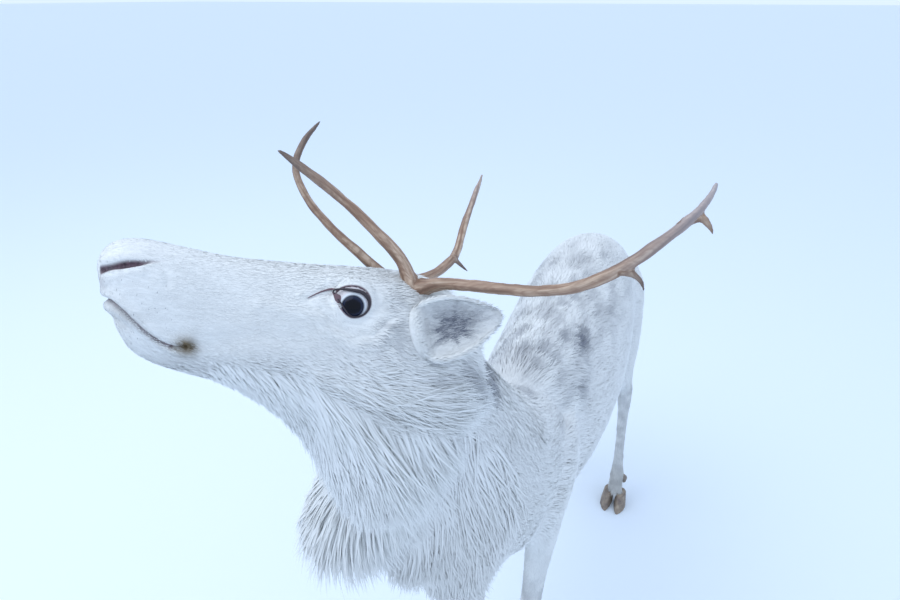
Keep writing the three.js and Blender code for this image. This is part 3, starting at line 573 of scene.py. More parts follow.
signed = in_head(skin_points)
rel = both_sides(signed) - EYE
share = opening_share(rel[:, 0], rel[:, 2])
far = np.linalg.norm(rel, axis=1)
lid_far = EYE_RADIUS + 1.3 + 4.5 * np.clip(share - 1, 0, 1.5)
pull = np.where(share > 1, 1 - ease(1.5, 2.4, share), 1.0)
wanted = np.where(share > 1, far + (lid_far - far) * pull, EYE_RADIUS - 5)
wanted = np.where((rel[:, 1] > 0) & (share < 2.7), wanted, far)
local = EYE + rel * (wanted / np.maximum(far, 1e-6))[:, None]
local[:, 1] *= np.where(signed[:, 1] < 0, -1, 1)
skin_points = on_head(local)
set_points(skin_mesh, skin_points)
skin_normals = normals_of(skin_mesh)

# ---- The coat's lie, length and marks at each place of the skin ----

nearest = nearest_of(skin_points, np.concatenate([f.points for f in forms]))
patch = np.concatenate([f.patch for f in forms])[nearest]
lie = relax(np.concatenate([f.lie for f in forms])[nearest].astype(float), skin_edges, 24)
local = in_head(skin_points)
face = ease(-30, 20, local[:, 0]) * near_face(local)
from_eye = both_sides(local) - EYE
eye_far = np.linalg.norm(from_eye[:, [0, 2]], axis=1)
round_eye = (1.2 * np.exp(-(eye_far / 26) ** 2) * (local[:, 1] ** 2 > 900) * face)[:, None]
lie = lie + round_eye * ((from_eye * [1, 0, 1] / 26) @ HEAD_AXES)
muzzle = (ease(235, 262, local[:, 0]) * face)[:, None]
lie = lie * (1 - muzzle) + muzzle * unit((local - [262, 0, -48]) * [0.2, 1, 1]) @ HEAD_AXES
lie = unit(lie - skin_normals * (lie * skin_normals).sum(1, keepdims=True))

length = np.array([36, 11, 46, 17, 17, 17, 17, 52], float)[patch]
leg = (patch >= 3) & (patch <= 6)
height = skin_points[:, 2]
length = np.where(leg, np.interp(height, [.05, .10, .30, .45, .62, .75], [17, 12, 9, 14, 28, 36]), length)
face_length = np.interp(local[:, 0], [-40, 0, 60, 130, 200, 260], [22, 12, 8, 6, 4, 2.6])
jaw = ease(-80, -130, local[:, 2]) * np.interp(local[:, 0], [0, 90, 150, 215], [32, 28, 18, 2])
cheek_long = ease(-60, -105, local[:, 2]) * np.interp(local[:, 0], [-10, 40, 110], [18, 9, 0])
length = np.where(patch == 1, face_length + jaw + cheek_long, length)
eyelid = np.exp(-(np.maximum(0, eye_far - 14) / 12) ** 2) * face
slit_far = from_path(both_sides(local), SLIT)[0]
length = np.where(patch == 1, length * (1 - 0.6 * eyelid) * (1 - 0.55 * np.exp(-(slit_far / 8) ** 2)), length)
length = relax(length[:, None], skin_edges, 16)[:, 0]

# Grey flecks: x, y, z in millimetres from the frame's origin, half length, half width, strength
FLECKS = [
    (85, 121, 887, 30, 13, .75), (68, 15, 891, 46, 22, 1.0), (33, -26, 923, 30, 13, .7), (89, -130, 884, 34, 14, .75),
    (41, -462, 1112, 28, 17, 1.0), (-15, -149, 931, 34, 16, .6), (51, -586, 1167, 14, 7, .5),
    (-47, -63, 923, 34, 15, .55), (-66, -84, 909, 30, 13, .65), (21, -223, 924, 34, 15, .55),
    (137, -36, 805, 30, 14, .4), (94, -197, 852, 34, 14, .45), (107, 208, 873, 36, 15, .45),
    (-20, 36, 927, 34, 18, .5), (-5, 99, 924, 30, 15, .45), (12, -111, 933, 34, 15, .6), (35, -112, 925, 26, 12, .5),
    (66, 171, 905, 32, 16, .55), (112, 72, 857, 34, 14, .5), (86, -55, 888, 26, 11, .6), (85, -76, 851, 24, 10, .6),
    (-52, -145, 922, 32, 14, .5), (11, -169, 925, 30, 14, .5), (-19, 305, 933, 40, 22, .4),
]
dice = np.random.default_rng(21)
for _ in range(34):
    fx, fy = dice.uniform(-150, 120), dice.uniform(-230, 400)
    if fx < -20 or fy > 120:
        FLECKS.append((fx, fy, 905 - abs(fx) ** 2 * 0.0035, dice.uniform(18, 38), dice.uniform(9, 17),
                       dice.uniform(.2, .6)))


def coat_marks(points):
    """The coat's grey and its warm stain at each place, 0 to 1. The legs turn greyer and warmer towards the bottom, and
    the grey and brown at the front of the mouth are partly painted shade.
    """
    def broken(size, seed, middle=0.6, depth=0.6):
        return np.clip(middle + depth * waves(points, size, seed), 0, 1)

    mm = points * 1000
    ragged = waves(points, 0.022, 5)
    high = points[:, 2]
    head = in_head(points)
    q = both_sides(head)
    here = near_face(head)
    grey = np.zeros(len(points))
    for x, y, z, long, wide, strength in FLECKS:
        d = np.sqrt(((mm[:, 0] - x) / wide) ** 2 + ((mm[:, 1] - y) / long) ** 2 + ((mm[:, 2] - z) / 30) ** 2) / 1.3
        grey = np.maximum(grey, strength * (1 - ease(0.2, 1.45, d + 0.16 * ragged)))
    back = ease(.74, .90, high) * ease(-.30, -.14, points[:, 1]) * (1 - ease(.30, .55, points[:, 1]))
    mottle = np.clip(0.5 + 0.5 * waves(points * [1, .45, 1], 0.045, 8), 0, 1) ** 1.5
    behind_eye = np.exp(-(((q[:, 0] - 16) / 22) ** 2 + ((q[:, 2] + 46) / 34) ** 2)) * here
    ear_foot = blob(q, [-12, 62, -76], [18, 24, 22])
    # grey lips and painted shade along the front of the mouth
    lips = np.exp(-(from_path(q, MOUTH)[0] / 3.2) ** 2) * here * ease(200, 250, q[:, 0])
    # the legs turn greyer and a little warmer below the knees, and warmer still near the hooves
    lower_leg = ease(.48, .38, high)
    for patch_of_grey in (0.34 * back * mottle, 0.34 * behind_eye * broken(0.012, 3, 0.5, 0.8),
                          0.42 * ear_foot * broken(0.014, 9), 0.30 * lower_leg * broken(0.03, 11, 0.6, 0.5),
                          0.35 * lips):
        grey = np.maximum(grey, patch_of_grey)
    stain = 1.15 * blob(q, [192.5, 37.5, -87.5], [8.5, 14, 8]) * here
    for x, z in ((203, -90), (199, -92)):
        stain = np.maximum(stain, 0.8 * blob(q, [x, 35, z], [2.2, 9, 2.2]))
    stain = stain * np.where(head[:, 1] < 0, 0.45, 1.0)
    # the first is brown on the lower lip's front, its own colour and painted shade
    for warm in (0.20 * blob(q, [247, 24, -70], [15, 22, 9]) * here, ease(.20, .08, high) * 0.36, 0.10 * lower_leg,
                 0.16 * blob(points, [-0.03, -0.50, 0.88], [.12, .16, .2]),
                 0.22 * blob(q, [2, 42, -14], [20, 16, 16]) * here):
        stain = np.maximum(stain, warm)
    return grey, np.clip(stain, 0, 1)


def bare_skin_and_nostril_shade(points):
    """Dark bare skin along the lips, at the eye's corner and its slit, and dark skin with painted shade inside the
    nostrils.
    """
    q = both_sides(in_head(points))
    here = near_face(q)
    # painted shade inside the nostrils' openings, over their dark skin
    far, place = from_path(q, NOSTRIL)
    dark = (1 - ease(2.6, 4.8, far * (1 + 0.3 * place))) * here
    dark = np.maximum(dark, 0.34 * blob(q, [265, 20, -42], [9, 14, 7]) * here)
    far, _ = from_path(q, MOUTH[2:])
    dark = np.maximum(dark, 0.9 * np.exp(-(far / 2.0) ** 2) * here)
    far, place = from_path(q, SLIT)
    dark = np.maximum(dark, (1.0 - 0.4 * place) * np.exp(-(far / (3.0 - 1.2 * place)) ** 2) * here)
    rel = q - EYE
    rim = opening_share(rel[:, 0], rel[:, 2])
    dark = np.maximum(dark, (1 - ease(1.02, 1.15, rim)) * (rel[:, 1] > 0) * (rim < 2))
    return dark


skin_grey, skin_stain = coat_marks(smooth_points)
skin_bare_and_nostril_shade = bare_skin_and_nostril_shade(smooth_points)

# ---- Finishes ----


def colour(shade):
    """A grey of 0 to 1, or an sRGB colour of 0 to 255, in the shader's linear light."""
    if isinstance(shade, (int, float)):
        return (shade, shade, shade, 1)
    return tuple((c / 255 / 12.92 if c < 11 else ((c / 255 + 0.055) / 1.055) ** 2.4) for c in shade) + (1,)


def feed(tree, socket, value):
    if isinstance(value, bpy.types.NodeSocket):
        tree.links.new(value, socket)
    else:
        socket.default_value = colour(value) if socket.type == "RGBA" else value


def node(tree, kind, **given):
    """A node: names in small letters are its settings, and the others its inputs."""
    made = tree.nodes.new("ShaderNode" + kind)
    for name, value in given.items():
        if name.islower():
            setattr(made, name, value)
        else:
            feed(tree, made.inputs[name.replace("_", " ")], value)
    return made


def noise(tree, where, scale, detail):
    return node(tree, "TexNoise", Vector=where, Scale=scale, Detail=detail).outputs[0]


def held(tree, name):
    return node(tree, "Attribute", attribute_name=name).outputs


def mix_colour(tree, factor, a, b, way="MIX"):
    made = node(tree, "Mix", data_type="RGBA", blend_type=way)
    for socket, value in zip((made.inputs[0], made.inputs[6], made.inputs[7]), (factor, a, b)):
        feed(tree, socket, value)
    return made.outputs[2]


def maths(tree, way, a, b):
    made = node(tree, "Math", operation=way)
    feed(tree, made.inputs[0], a)
    feed(tree, made.inputs[1], b)
    return made.outputs[0]


def ramp(tree, factor, *stops):
    made = node(tree, "ValToRGB", Fac=factor)
    bars = made.color_ramp.elements
    while len(bars) < len(stops):
        bars.new(0.5)
    for bar, (at, shade) in zip(bars, stops):
        bar.position, bar.color = at, colour(shade)
    return made.outputs[0]


def new_group(name, inputs, outputs):
    group = bpy.data.node_groups.new(name, "ShaderNodeTree")
    for label, value in inputs.items():
        kind = "NodeSocketColor" if isinstance(value, tuple) else "NodeSocketFloat"
        socket = group.interface.new_socket(label, in_out="INPUT", socket_type=kind)
        socket.default_value = colour(value) if isinstance(value, tuple) else value
    for label, kind in outputs.items():
        group.interface.new_socket(label, in_out="OUTPUT", socket_type=kind)
    return group, group.nodes.new("NodeGroupInput").outputs, group.nodes.new("NodeGroupOutput").inputs


# White coat with its grey, its stain, a soft mottle and a darker foot to every hair, painted shade where the coat
# covers its own roots
coat_group, given, out = new_group(
    "coat_colour",
    {"White": (238, 239, 237), "Grey": (100, 104, 116), "Stain": (106, 90, 62), "Grey share": 0.0,
     "Stain share": 0.0, "Along": 1.0, "Shade": 0.5}, {"Color": "NodeSocketColor"})
where = node(coat_group, "TexCoord").outputs["Object"]
tone = given["White"]
for soft in (ramp(coat_group, noise(coat_group, where, 22.0, 3.0), (.3, .94), (.7, 1)),
             # painted shade: each hair darker towards its root, deep in the coat
             ramp(coat_group, given["Along"], (0, .92), (.55, 1)),
             ramp(coat_group, given["Shade"], (0, .94), (1, 1))):
    tone = mix_colour(coat_group, 1.0, tone, soft, "MULTIPLY")
for label in ("Grey", "Stain"):
    tone = mix_colour(coat_group, given[label + " share"], tone, given[label])
feed(coat_group, out["Color"], tone)

# Fine lines of flat hair, drawn out along the way that the coat lies
hair_group, given, out = new_group("hair_grain", {"Scale": 420.0, "Depth": 1.0},
                                   {"Height": "NodeSocketFloat", "Tone": "NodeSocketFloat"})
grain = noise(hair_group, held(hair_group, "flow")["Vector"], given["Scale"], 4.0)
feed(hair_group, out["Height"], maths(hair_group, "MULTIPLY", grain, given["Depth"]))
feed(hair_group, out["Tone"], grain)


def dress(tree, made, **inputs):
    for label, value in inputs.items():
        feed(tree, made.inputs[label.replace("_", " ")], value)


def material(name, roughness, **fixed):
    made = bpy.data.materials.new(name)
    made.use_nodes = True
    shader = made.node_tree.nodes["Principled BSDF"]
    dress(made.node_tree, shader, Roughness=roughness, **fixed)
    return made, made.node_tree, shader


def bump(tree, shader, height, distance, strength):
    dress(tree, shader, Normal=node(tree, "Bump", Height=height, Distance=distance, Strength=strength).outputs[0])


def split_coat(tree):
    kept = held(tree, "coat")
    parts = node(tree, "SeparateColor", Color=kept["Color"]).outputs
    return parts[0], parts[1], parts[2], kept["Alpha"]


def coat_tone(tree, grey, stain, along, **more):
    made = node(tree, "Group", node_tree=coat_group, Grey_share=grey, Stain_share=stain, Along=along, **more)
    return made.outputs[0]


def hair_grain(tree, scale):
    return node(tree, "Group", node_tree=hair_group, Scale=scale, Depth=1.0).outputs


# The skin under the coat: the coat's own marks, and dark bare skin where there is no hair, with painted shade inside
# the nostrils
skin_material, tree, shader = material("skin_with_short_hair", 0.75, Sheen_Weight=0.12, Sheen_Roughness=0.5)
grey, stain, bare, whisker_share = split_coat(tree)
hair = hair_grain(tree, 420.0)
lines = ramp(tree, hair["Tone"], (.35, .86), (.62, 1))
skin_colour = mix_colour(tree, 1.0, coat_tone(tree, grey, stain, 0.7), lines, "MULTIPLY")
in_box = held(tree, "box")["Vector"]
bare_colour = ramp(tree, noise(tree, in_box, 260.0, 3.0), (.3, (70, 54, 62)), (.7, (118, 92, 102)))
# dark bare skin, and painted shade inside the nostrils
skin_colour = mix_colour(tree, bare, skin_colour, bare_colour)
dots = node(tree, "TexVoronoi", Vector=in_box, Scale=150.0, Randomness=0.7).outputs["Distance"]
dots = maths(tree, "MULTIPLY", ramp(tree, dots, (.06, 1), (.16, 0)), whisker_share)
skin_colour = mix_colour(tree, maths(tree, "MULTIPLY", dots, 0.5), skin_colour, (84, 84, 92))
dress(tree, shader, Base_Color=skin_colour, Roughness=ramp(tree, bare, (0, .8), (1, .42)))
bump(tree, shader, hair["Height"], 0.0009, 0.7)

# The hair itself
hair_material, tree, shader = material("white_hair", 0.62, Sheen_Weight=0.10, Sheen_Roughness=0.5)
grey, stain, along, shade = split_coat(tree)
dress(tree, shader, Base_Color=coat_tone(tree, grey, stain, along, Shade=shade))

# ---- The skin's own piece ----

bm = bmesh.new()
bm.from_mesh(skin_mesh)
bmesh.ops.triangulate(bm, faces=bm.faces)
bm.to_mesh(skin_mesh)
bm.free()
on_muzzle = both_sides(in_head(smooth_points))
whiskers = (ease(185, 215, on_muzzle[:, 0]) * ease(12, 22, on_muzzle[:, 1]) * ease(-20, -34, on_muzzle[:, 2])
            * near_face(on_muzzle))
give(skin_mesh, "coat", "FLOAT_COLOR", np.stack([skin_grey, skin_stain, skin_bare_and_nostril_shade, whiskers], 1))
turned = in_head(skin_points) * MM * [.12, 1, 1]
straight = np.where(leg[:, None], skin_points * [1, 1, .12], skin_points * [1, .12, 1])
give(skin_mesh, "flow", "FLOAT_VECTOR", np.where((patch == HEAD_PATCH)[:, None], turned, straight))
give_box(skin_mesh)
FLESH = ["head", "neck", "torso_front", "torso_rear", "tail"]
FLESH += [f"foreleg_{s}_{p}" for s in ("left", "right") for p in ("upper", "lower")]
FLESH += [f"hindleg_{s}_{p}" for s in ("left", "right") for p in ("thigh", "shank", "cannon")]
place_piece("skin", skin_mesh, skin_material, FLESH)
print("skin triangles", len(skin_mesh.polygons))

# ---- Tufts ----

skin_tris = read(skin_mesh.loops, "vertex_index", np.int32, 1).reshape(-1, 3)
tri_area = areas(skin_points, skin_tris)
vertex_place = np.concatenate([f.place for f in forms])[nearest]


class Roots:
    """Places where hair grows, with what the coat needs to know at each."""

    def __init__(self, **values):
        self.__dict__.update(values)
        self.count = len(self.points)

    def take(self, keep):
        return Roots(**{k: v[keep] for k, v in self.__dict__.items() if isinstance(v, np.ndarray)})


def skin_roots(count, weight):
    count = int(count * share_of_coat)
    total = np.cumsum(tri_area * weight[skin_tris].mean(1))
    picks = (np.arange(count) + rng.random(count)) / count * total[-1]
    tri = np.minimum(np.searchsorted(total, picks), len(total) - 1)
    a, b = rng.random((2, count))
    flip = a + b > 1
    a, b = np.where(flip, 1 - a, a), np.where(flip, 1 - b, b)
    share = np.stack([1 - a - b, a, b], 1)
    corners = skin_tris[tri]
    pick = corners[np.arange(count), share.argmax(1)]
    points = blend(skin_points, corners, share)
    grey, stain = coat_marks(points)
    return Roots(points=points, normal=unit(blend(skin_normals, corners, share)),
                 lie=unit(blend(lie, corners, share)), length=blend(length, corners, share), patch=patch[pick],
                 place=vertex_place[pick] + (points - skin_points[pick])[:, :2] * 0.5, grey=grey, stain=stain)


# How wide a blade is at each step from its root to its point
WIDTHS = {2: [.85, 1.0, 0], 3: [.7, 1.0, .72, 0], 4: [.7, 1, .9, .6, 0]}


def hair_points(r, width, lift, steps, droop=0.0, sway=0.12, gather=None, pull=0.0, sink=0.0008):
    """Rows of points for one blade at every root: it leaves the skin, lies over and ends in a point."""
    n = r.count
    across = unit(np.cross(r.normal, r.lie))
    turn = rng.normal(0, 0.2, n)[:, None]
    flat = np.cos(turn) * across + np.sin(turn) * r.normal
    bend = rng.normal(0, sway, n)[:, None]
    long = (r.length * 0.001 * rng.uniform(.72, 1.22, n))[:, None]
    lift = (np.broadcast_to(lift, n) * rng.uniform(.75, 1.25, n))[:, None]
    width = (np.broadcast_to(width, n) * 0.0005 * rng.uniform(.7, 1.3, n))[:, None]
    rows = []
    for i, share in enumerate(WIDTHS[steps]):
        t = i / steps
        p = (r.points - r.normal * sink + r.lie * long * t * (1 - 0.12 * t) + r.normal * long * lift * t * (1 - 0.5 * t)
             + across * bend * long * t ** 2 - Z * long * droop * t ** 2)
        if gather is not None:
            p = p + (gather - r.points) * pull * t ** 1.3
        if i < steps:
            rows += [p - flat * width * share, p + flat * width * share]
        else:
            rows.append(p)
    return np.stack(rows, 1)


def make_coat(name, r, blade, steps, nodes=FLESH):
    """One joined mesh of blades, with the coat's values and each blade's own patch on the unwrap."""
    n, per = blade.shape[:2]
    faces = []
    for i in range(steps - 1):
        faces += [(2 * i, 2 * i + 3, 2 * i + 1), (2 * i, 2 * i + 2, 2 * i + 3)]
    faces.append((2 * steps - 2, 2 * steps, 2 * steps - 1))
    faces = np.array(faces)
    corner = (faces[None] + (np.arange(n) * per)[:, None, None]).reshape(-1)
    mesh = bpy.data.meshes.new(name)
    mesh.vertices.add(n * per)
    mesh.vertices.foreach_set("co", blade.astype(np.float32).ravel())
    mesh.loops.add(len(corner))
    mesh.loops.foreach_set("vertex_index", corner.astype(np.int32))
    mesh.polygons.add(len(corner) // 3)
    mesh.polygons.foreach_set("loop_start", np.arange(0, len(corner), 3, dtype=np.int32))
    mesh.polygons.foreach_set("use_smooth", np.ones(len(corner) // 3, bool))
    along = np.array([min(i // 2, steps) / steps for i in range(per)])
    give(mesh, "coat", "FLOAT_COLOR", np.stack(
        [np.repeat(r.grey, per), np.repeat(r.stain, per), np.tile(along, n), np.repeat(rng.random(n), per)], 1))
    patches = mesh.uv_layers.new(name="OFBake")
    place = r.place.copy()
    shift = 0.0
    for kind in np.unique(r.patch):
        mine = r.patch == kind
        place[mine] -= place[mine].min(0)
        place[mine, 1] += shift
        shift = place[mine, 1].max() + 0.01
    place = 0.01 + 0.98 * place / place.max(0)
    side = np.array([(-1 if i % 2 == 0 else 1) * (i < per - 1) for i in range(per)])
    spot = np.stack([np.tile(side * 0.0015, n), np.tile((along - 0.5) * 0.003, n)], 1)
    uv = (np.repeat(place, per, axis=0) + spot)[corner].clip(0, 1)
    patches.uv.foreach_set("vector", uv.astype(np.float32).ravel())
    mesh.update(calc_edges=True)
    mesh.validate()
    normals = unit(np.repeat(r.normal, per, axis=0) * 0.8 + normals_of(mesh) * 0.2)
    mesh.normals_split_custom_set_from_vertices(normals.astype(np.float32))
    place_piece(name, mesh, hair_material, nodes)


def clump_tips(r, spread, seed):
    """For each root the nearest of some scattered roots, which its tip leans to."""
    dice = np.random.default_rng(seed)
    count = max(8, int(r.count * min(1.0, (tri_area.sum() / r.count) / spread ** 2)))
    chosen = dice.choice(r.count, min(count, r.count), replace=False)
    return r.points[chosen[nearest_of(r.points, r.points[chosen])]]


def grow(name, r, width, lift, steps, comb=None, clump=None, parts=None, **shape):
    """Comb the roots, draw their hair and make it one coat piece, or one for each part."""
    if comb:
        size, amount, seed = comb
        r.lie = unit(r.lie + np.cross(r.normal, r.lie) * (amount * waves(r.points, size, seed))[:, None])
    if clump:
        shape["gather"] = clump_tips(r, *clump)
    blade = hair_points(r, width, lift, steps, **shape)
    for label, mine in (parts or {"": slice(None)}).items():
        make_coat(name + label, r.take(mine), blade[mine], steps)


skin_local = in_head(skin_points)
skin_far = both_sides(skin_local)
hairy = 1 - ease(.25, .6, skin_bare_and_nostril_shade)
lidded = opening_share(skin_far[:, 0] - EYE[0], skin_far[:, 2] - EYE[2]) > 1.05
closed = np.where((skin_far[:, 1] - EYE[1] > 0) & near_face(skin_local), hairy * lidded, hairy)

# The face's short hair, shortest and finest at the nose
r = skin_roots(62000, (patch == HEAD_PATCH) * ease(-45, -20, skin_local[:, 0]) * closed
               * np.interp(skin_local[:, 0], [-30, 120, 260], [.7, 1, 1.7]))
half = r.points @ LEFT > (on_head((0, 0, 0)) @ LEFT)
grow("coat_face_", r, np.interp(r.length, [2, 8, 30], [.55, .85, 1.5]), 0.34, 2, comb=(0.03, 0.12, 31),
     parts={"left": half, "right": ~half}, sink=0.0004)

# The neck, in soft clumps that run down it
on_neck = ((patch == NECK_PATCH) | ((patch == HEAD_PATCH) & (skin_local[:, 0] < -20))).astype(float)
r = skin_roots(72000, on_neck * closed)
across_neck = r.points[:, 0] + 0.4 * r.points[:, 1]
half = across_neck > np.median(across_neck)
grow("coat_neck_", r, 1.7, 0.20, 3, comb=(0.09, 0.14, 32), clump=(0.016, 33), pull=.08, droop=.06,
     parts={"left": half, "right": ~half})

# The trunk and the tops of the legs
on_trunk = ((patch == TRUNK_PATCH) | (patch == TAIL_PATCH)).astype(float)
r = skin_roots(82000, np.maximum(on_trunk, leg * (height > 0.52)))
edges_y = np.quantile(r.points[:, 1], [0, .34, .67, 1])
grow("coat_body_", r, 2.1, 0.20, 3, comb=(0.10, 0.14, 34), clump=(0.014, 35), pull=.14, droop=.05,
     parts={label: (r.points[:, 1] >= low) & (r.points[:, 1] < high + 1e-9)
            for label, low, high in zip(("front", "middle", "rear"), edges_y[:-1], edges_y[1:])})

# The lower legs
grow("coat_legs", skin_roots(34000, leg * (height <= 0.54) * np.interp(height, [.05, .3, .54], [1.6, 1.3, 1])),
     1.1, 0.26, 2)

# The ruff: long strands down the throat to the chest, shorter where they reach the brisket
throat_way = unit(np.array([-0.15, -0.62, -0.72]))
throat_face = np.maximum(ease(.05, .75, skin_normals @ throat_way), ease(.3, .8, skin_normals @ NOSE) * (patch == 2))
throat = throat_face * (patch != 1) * ease(.60, .72, height) * ease(-.27, -.35, skin_points[:, 1])
r = skin_roots(28000, throat * (patch <= NECK_PATCH))
at_brisket = (1 - np.interp(r.points[:, 1], [-.47, -.42, -.37], [1, .55, .2])) * ease(.90, .78, r.points[:, 2])
r.length = (84 + 32 * ease(1.15, .95, r.points[:, 2])) * (1 - at_brisket)
grow("coat_ruff", r, 3.2, 0.15, 4, comb=(0.09, 0.2, 41), clump=(0.034, 42), pull=.10, droop=.24, sway=.09)

# The beard: it hangs from under the jaw, growing longer from behind the chin to the throat
under_jaw = ease(.35, .9, -skin_normals @ CROWN) * (patch == 1) * ease(185, 120, skin_local[:, 0])
r = skin_roots(16000, under_jaw * ease(-60, -30, skin_local[:, 0]))
jaw_at = in_head(r.points)[:, 0]
r.length = np.interp(jaw_at, [-40, 20, 50, 75, 100, 125, 155, 180], [64, 104, 112, 88, 58, 36, 18, 8])
hang = np.array([0, 0, -1.0]) - 0.15 * NOSE
r.lie = unit(r.lie * np.interp(jaw_at, [60, 160], [.3, 1.1])[:, None] + hang * 0.9 + r.normal * 0.2)
grow("coat_beard", r, 3.0, 0.08, 4, comb=(0.08, 0.16, 45), clump=(0.026, 46), pull=.10, droop=.12, sway=.10)

# Long hair of the tail and the fringe under the belly
r = skin_roots(9000, (patch == TAIL_PATCH) * 1.0 + 0.5 * (patch == TRUNK_PATCH) * ease(.75, .95, -skin_normals[:, 2]))
r.length = r.length * 1.25
grow("coat_tail_and_belly", r, 2.1, 0.22, 4, clump=(0.02, 44), pull=.6, droop=.18)

# ---- Ears ----

# along, sink, width, back, face, how open the cup is
EAR = [
    (-6, 24, 18, 15, 13, 0), (6, 9, 23, 17, 9, 0), (17, 2, 28, 19, 4, .75), (32, 0, 29.5, 18, 1, 1),
    (50, 0, 25, 14, 0, 1), (64, 0, 17.5, 10, 1, 1), (76, 0, 9, 5, 2, .8), (82, 0, 3.5, 3, 2, 0),
]
EAR_WALL = 3.6
CORE = (34, 3)  # where the cup is darkest, out along it and down from its middle line
EAR_SIDES = 44


def ear_axes(turn):
    out = unit(-0.93 * NOSE + turn * 0.32 * LEFT + 0.36 * CROWN)
    facing = 0.33 * NOSE + turn * 0.94 * LEFT
    facing = unit(facing - out * (facing @ out))
    return out, facing, np.cross(out, facing)


def ear_rings(turn):
    out, facing, broad = ear_axes(turn)
    root = HEAD_AT + np.array([3, turn * 71, -55]) @ HEAD_AXES
    rings, cups = [], []
    t = 2 * math.pi * np.arange(EAR_SIDES) / EAR_SIDES
    h = np.sin(t)
    inner = h > 0
    for along, sink, width, back, swell, hollow in rows_between(EAR, 5):
        flat = width * np.cos(t) * np.where(inner, 1 - 0.08 * hollow, 1)
        cup = -(np.maximum(back - EAR_WALL, 0.6)) * h
        depth = np.where(inner, swell * h * (1 - hollow) + cup * hollow + 1.2 * hollow, back * h)
        centre = root + out * along - facing * sink
        rings.append(row(centre + flat[:, None] * broad + depth[:, None] * facing))
        cups.append(np.where(inner, hollow * np.abs(h) ** 0.5, 0))
    return np.array(rings), np.array(cups), row(root), out


ear_material, tree, shader = material("ear_skin_with_hair", 0.7, Sheen_Weight=0.12, Sheen_Roughness=0.5)
grey, stain, bare, _ = split_coat(tree)
hair = hair_grain(tree, 520.0)
# painted shade: the cup drawn dark round its canal where the coat's third value is high
inside = ramp(tree, hair["Tone"], (.3, (44, 42, 46)), (.7, (104, 98, 100)))
dress(tree, shader, Base_Color=mix_colour(tree, bare, coat_tone(tree, grey, stain, 0.7), inside))
bump(tree, shader, hair["Height"], 0.0008, 0.8)


def ear_cup_painted_shade(points, root, out, broad, cup):
    """Painted shade in the cup: dark round its canal, grey above it in rays that are partly grey hair, and pale below
    and towards its tip.
    """
    along, aside = (points - root) @ out * 1000 - CORE[0], (points - root) @ broad * 1000 - CORE[1]
    angle = np.arctan2(aside, along)
    rays = 0.16 * np.sin(7 * angle + 0.6) + 0.10 * np.sin(17 * angle) + 0.10 * np.sin(29 * angle + 2)
    streak = np.hypot(aside + 0.55 * along, np.maximum(0, np.abs(along + 12) - 12) * 0.6) / 3.4
    core = np.minimum(np.hypot(along / 14, aside / 10) * (1 + rays), 0.4 + streak)
    fuzz = np.hypot((along - 4) / 25, (aside + 7) / 16) * (1 + rays)
    return cup * (1 - ease(.35, 1.4, core)), cup * (1 - ease(.3, 1.6, fuzz))


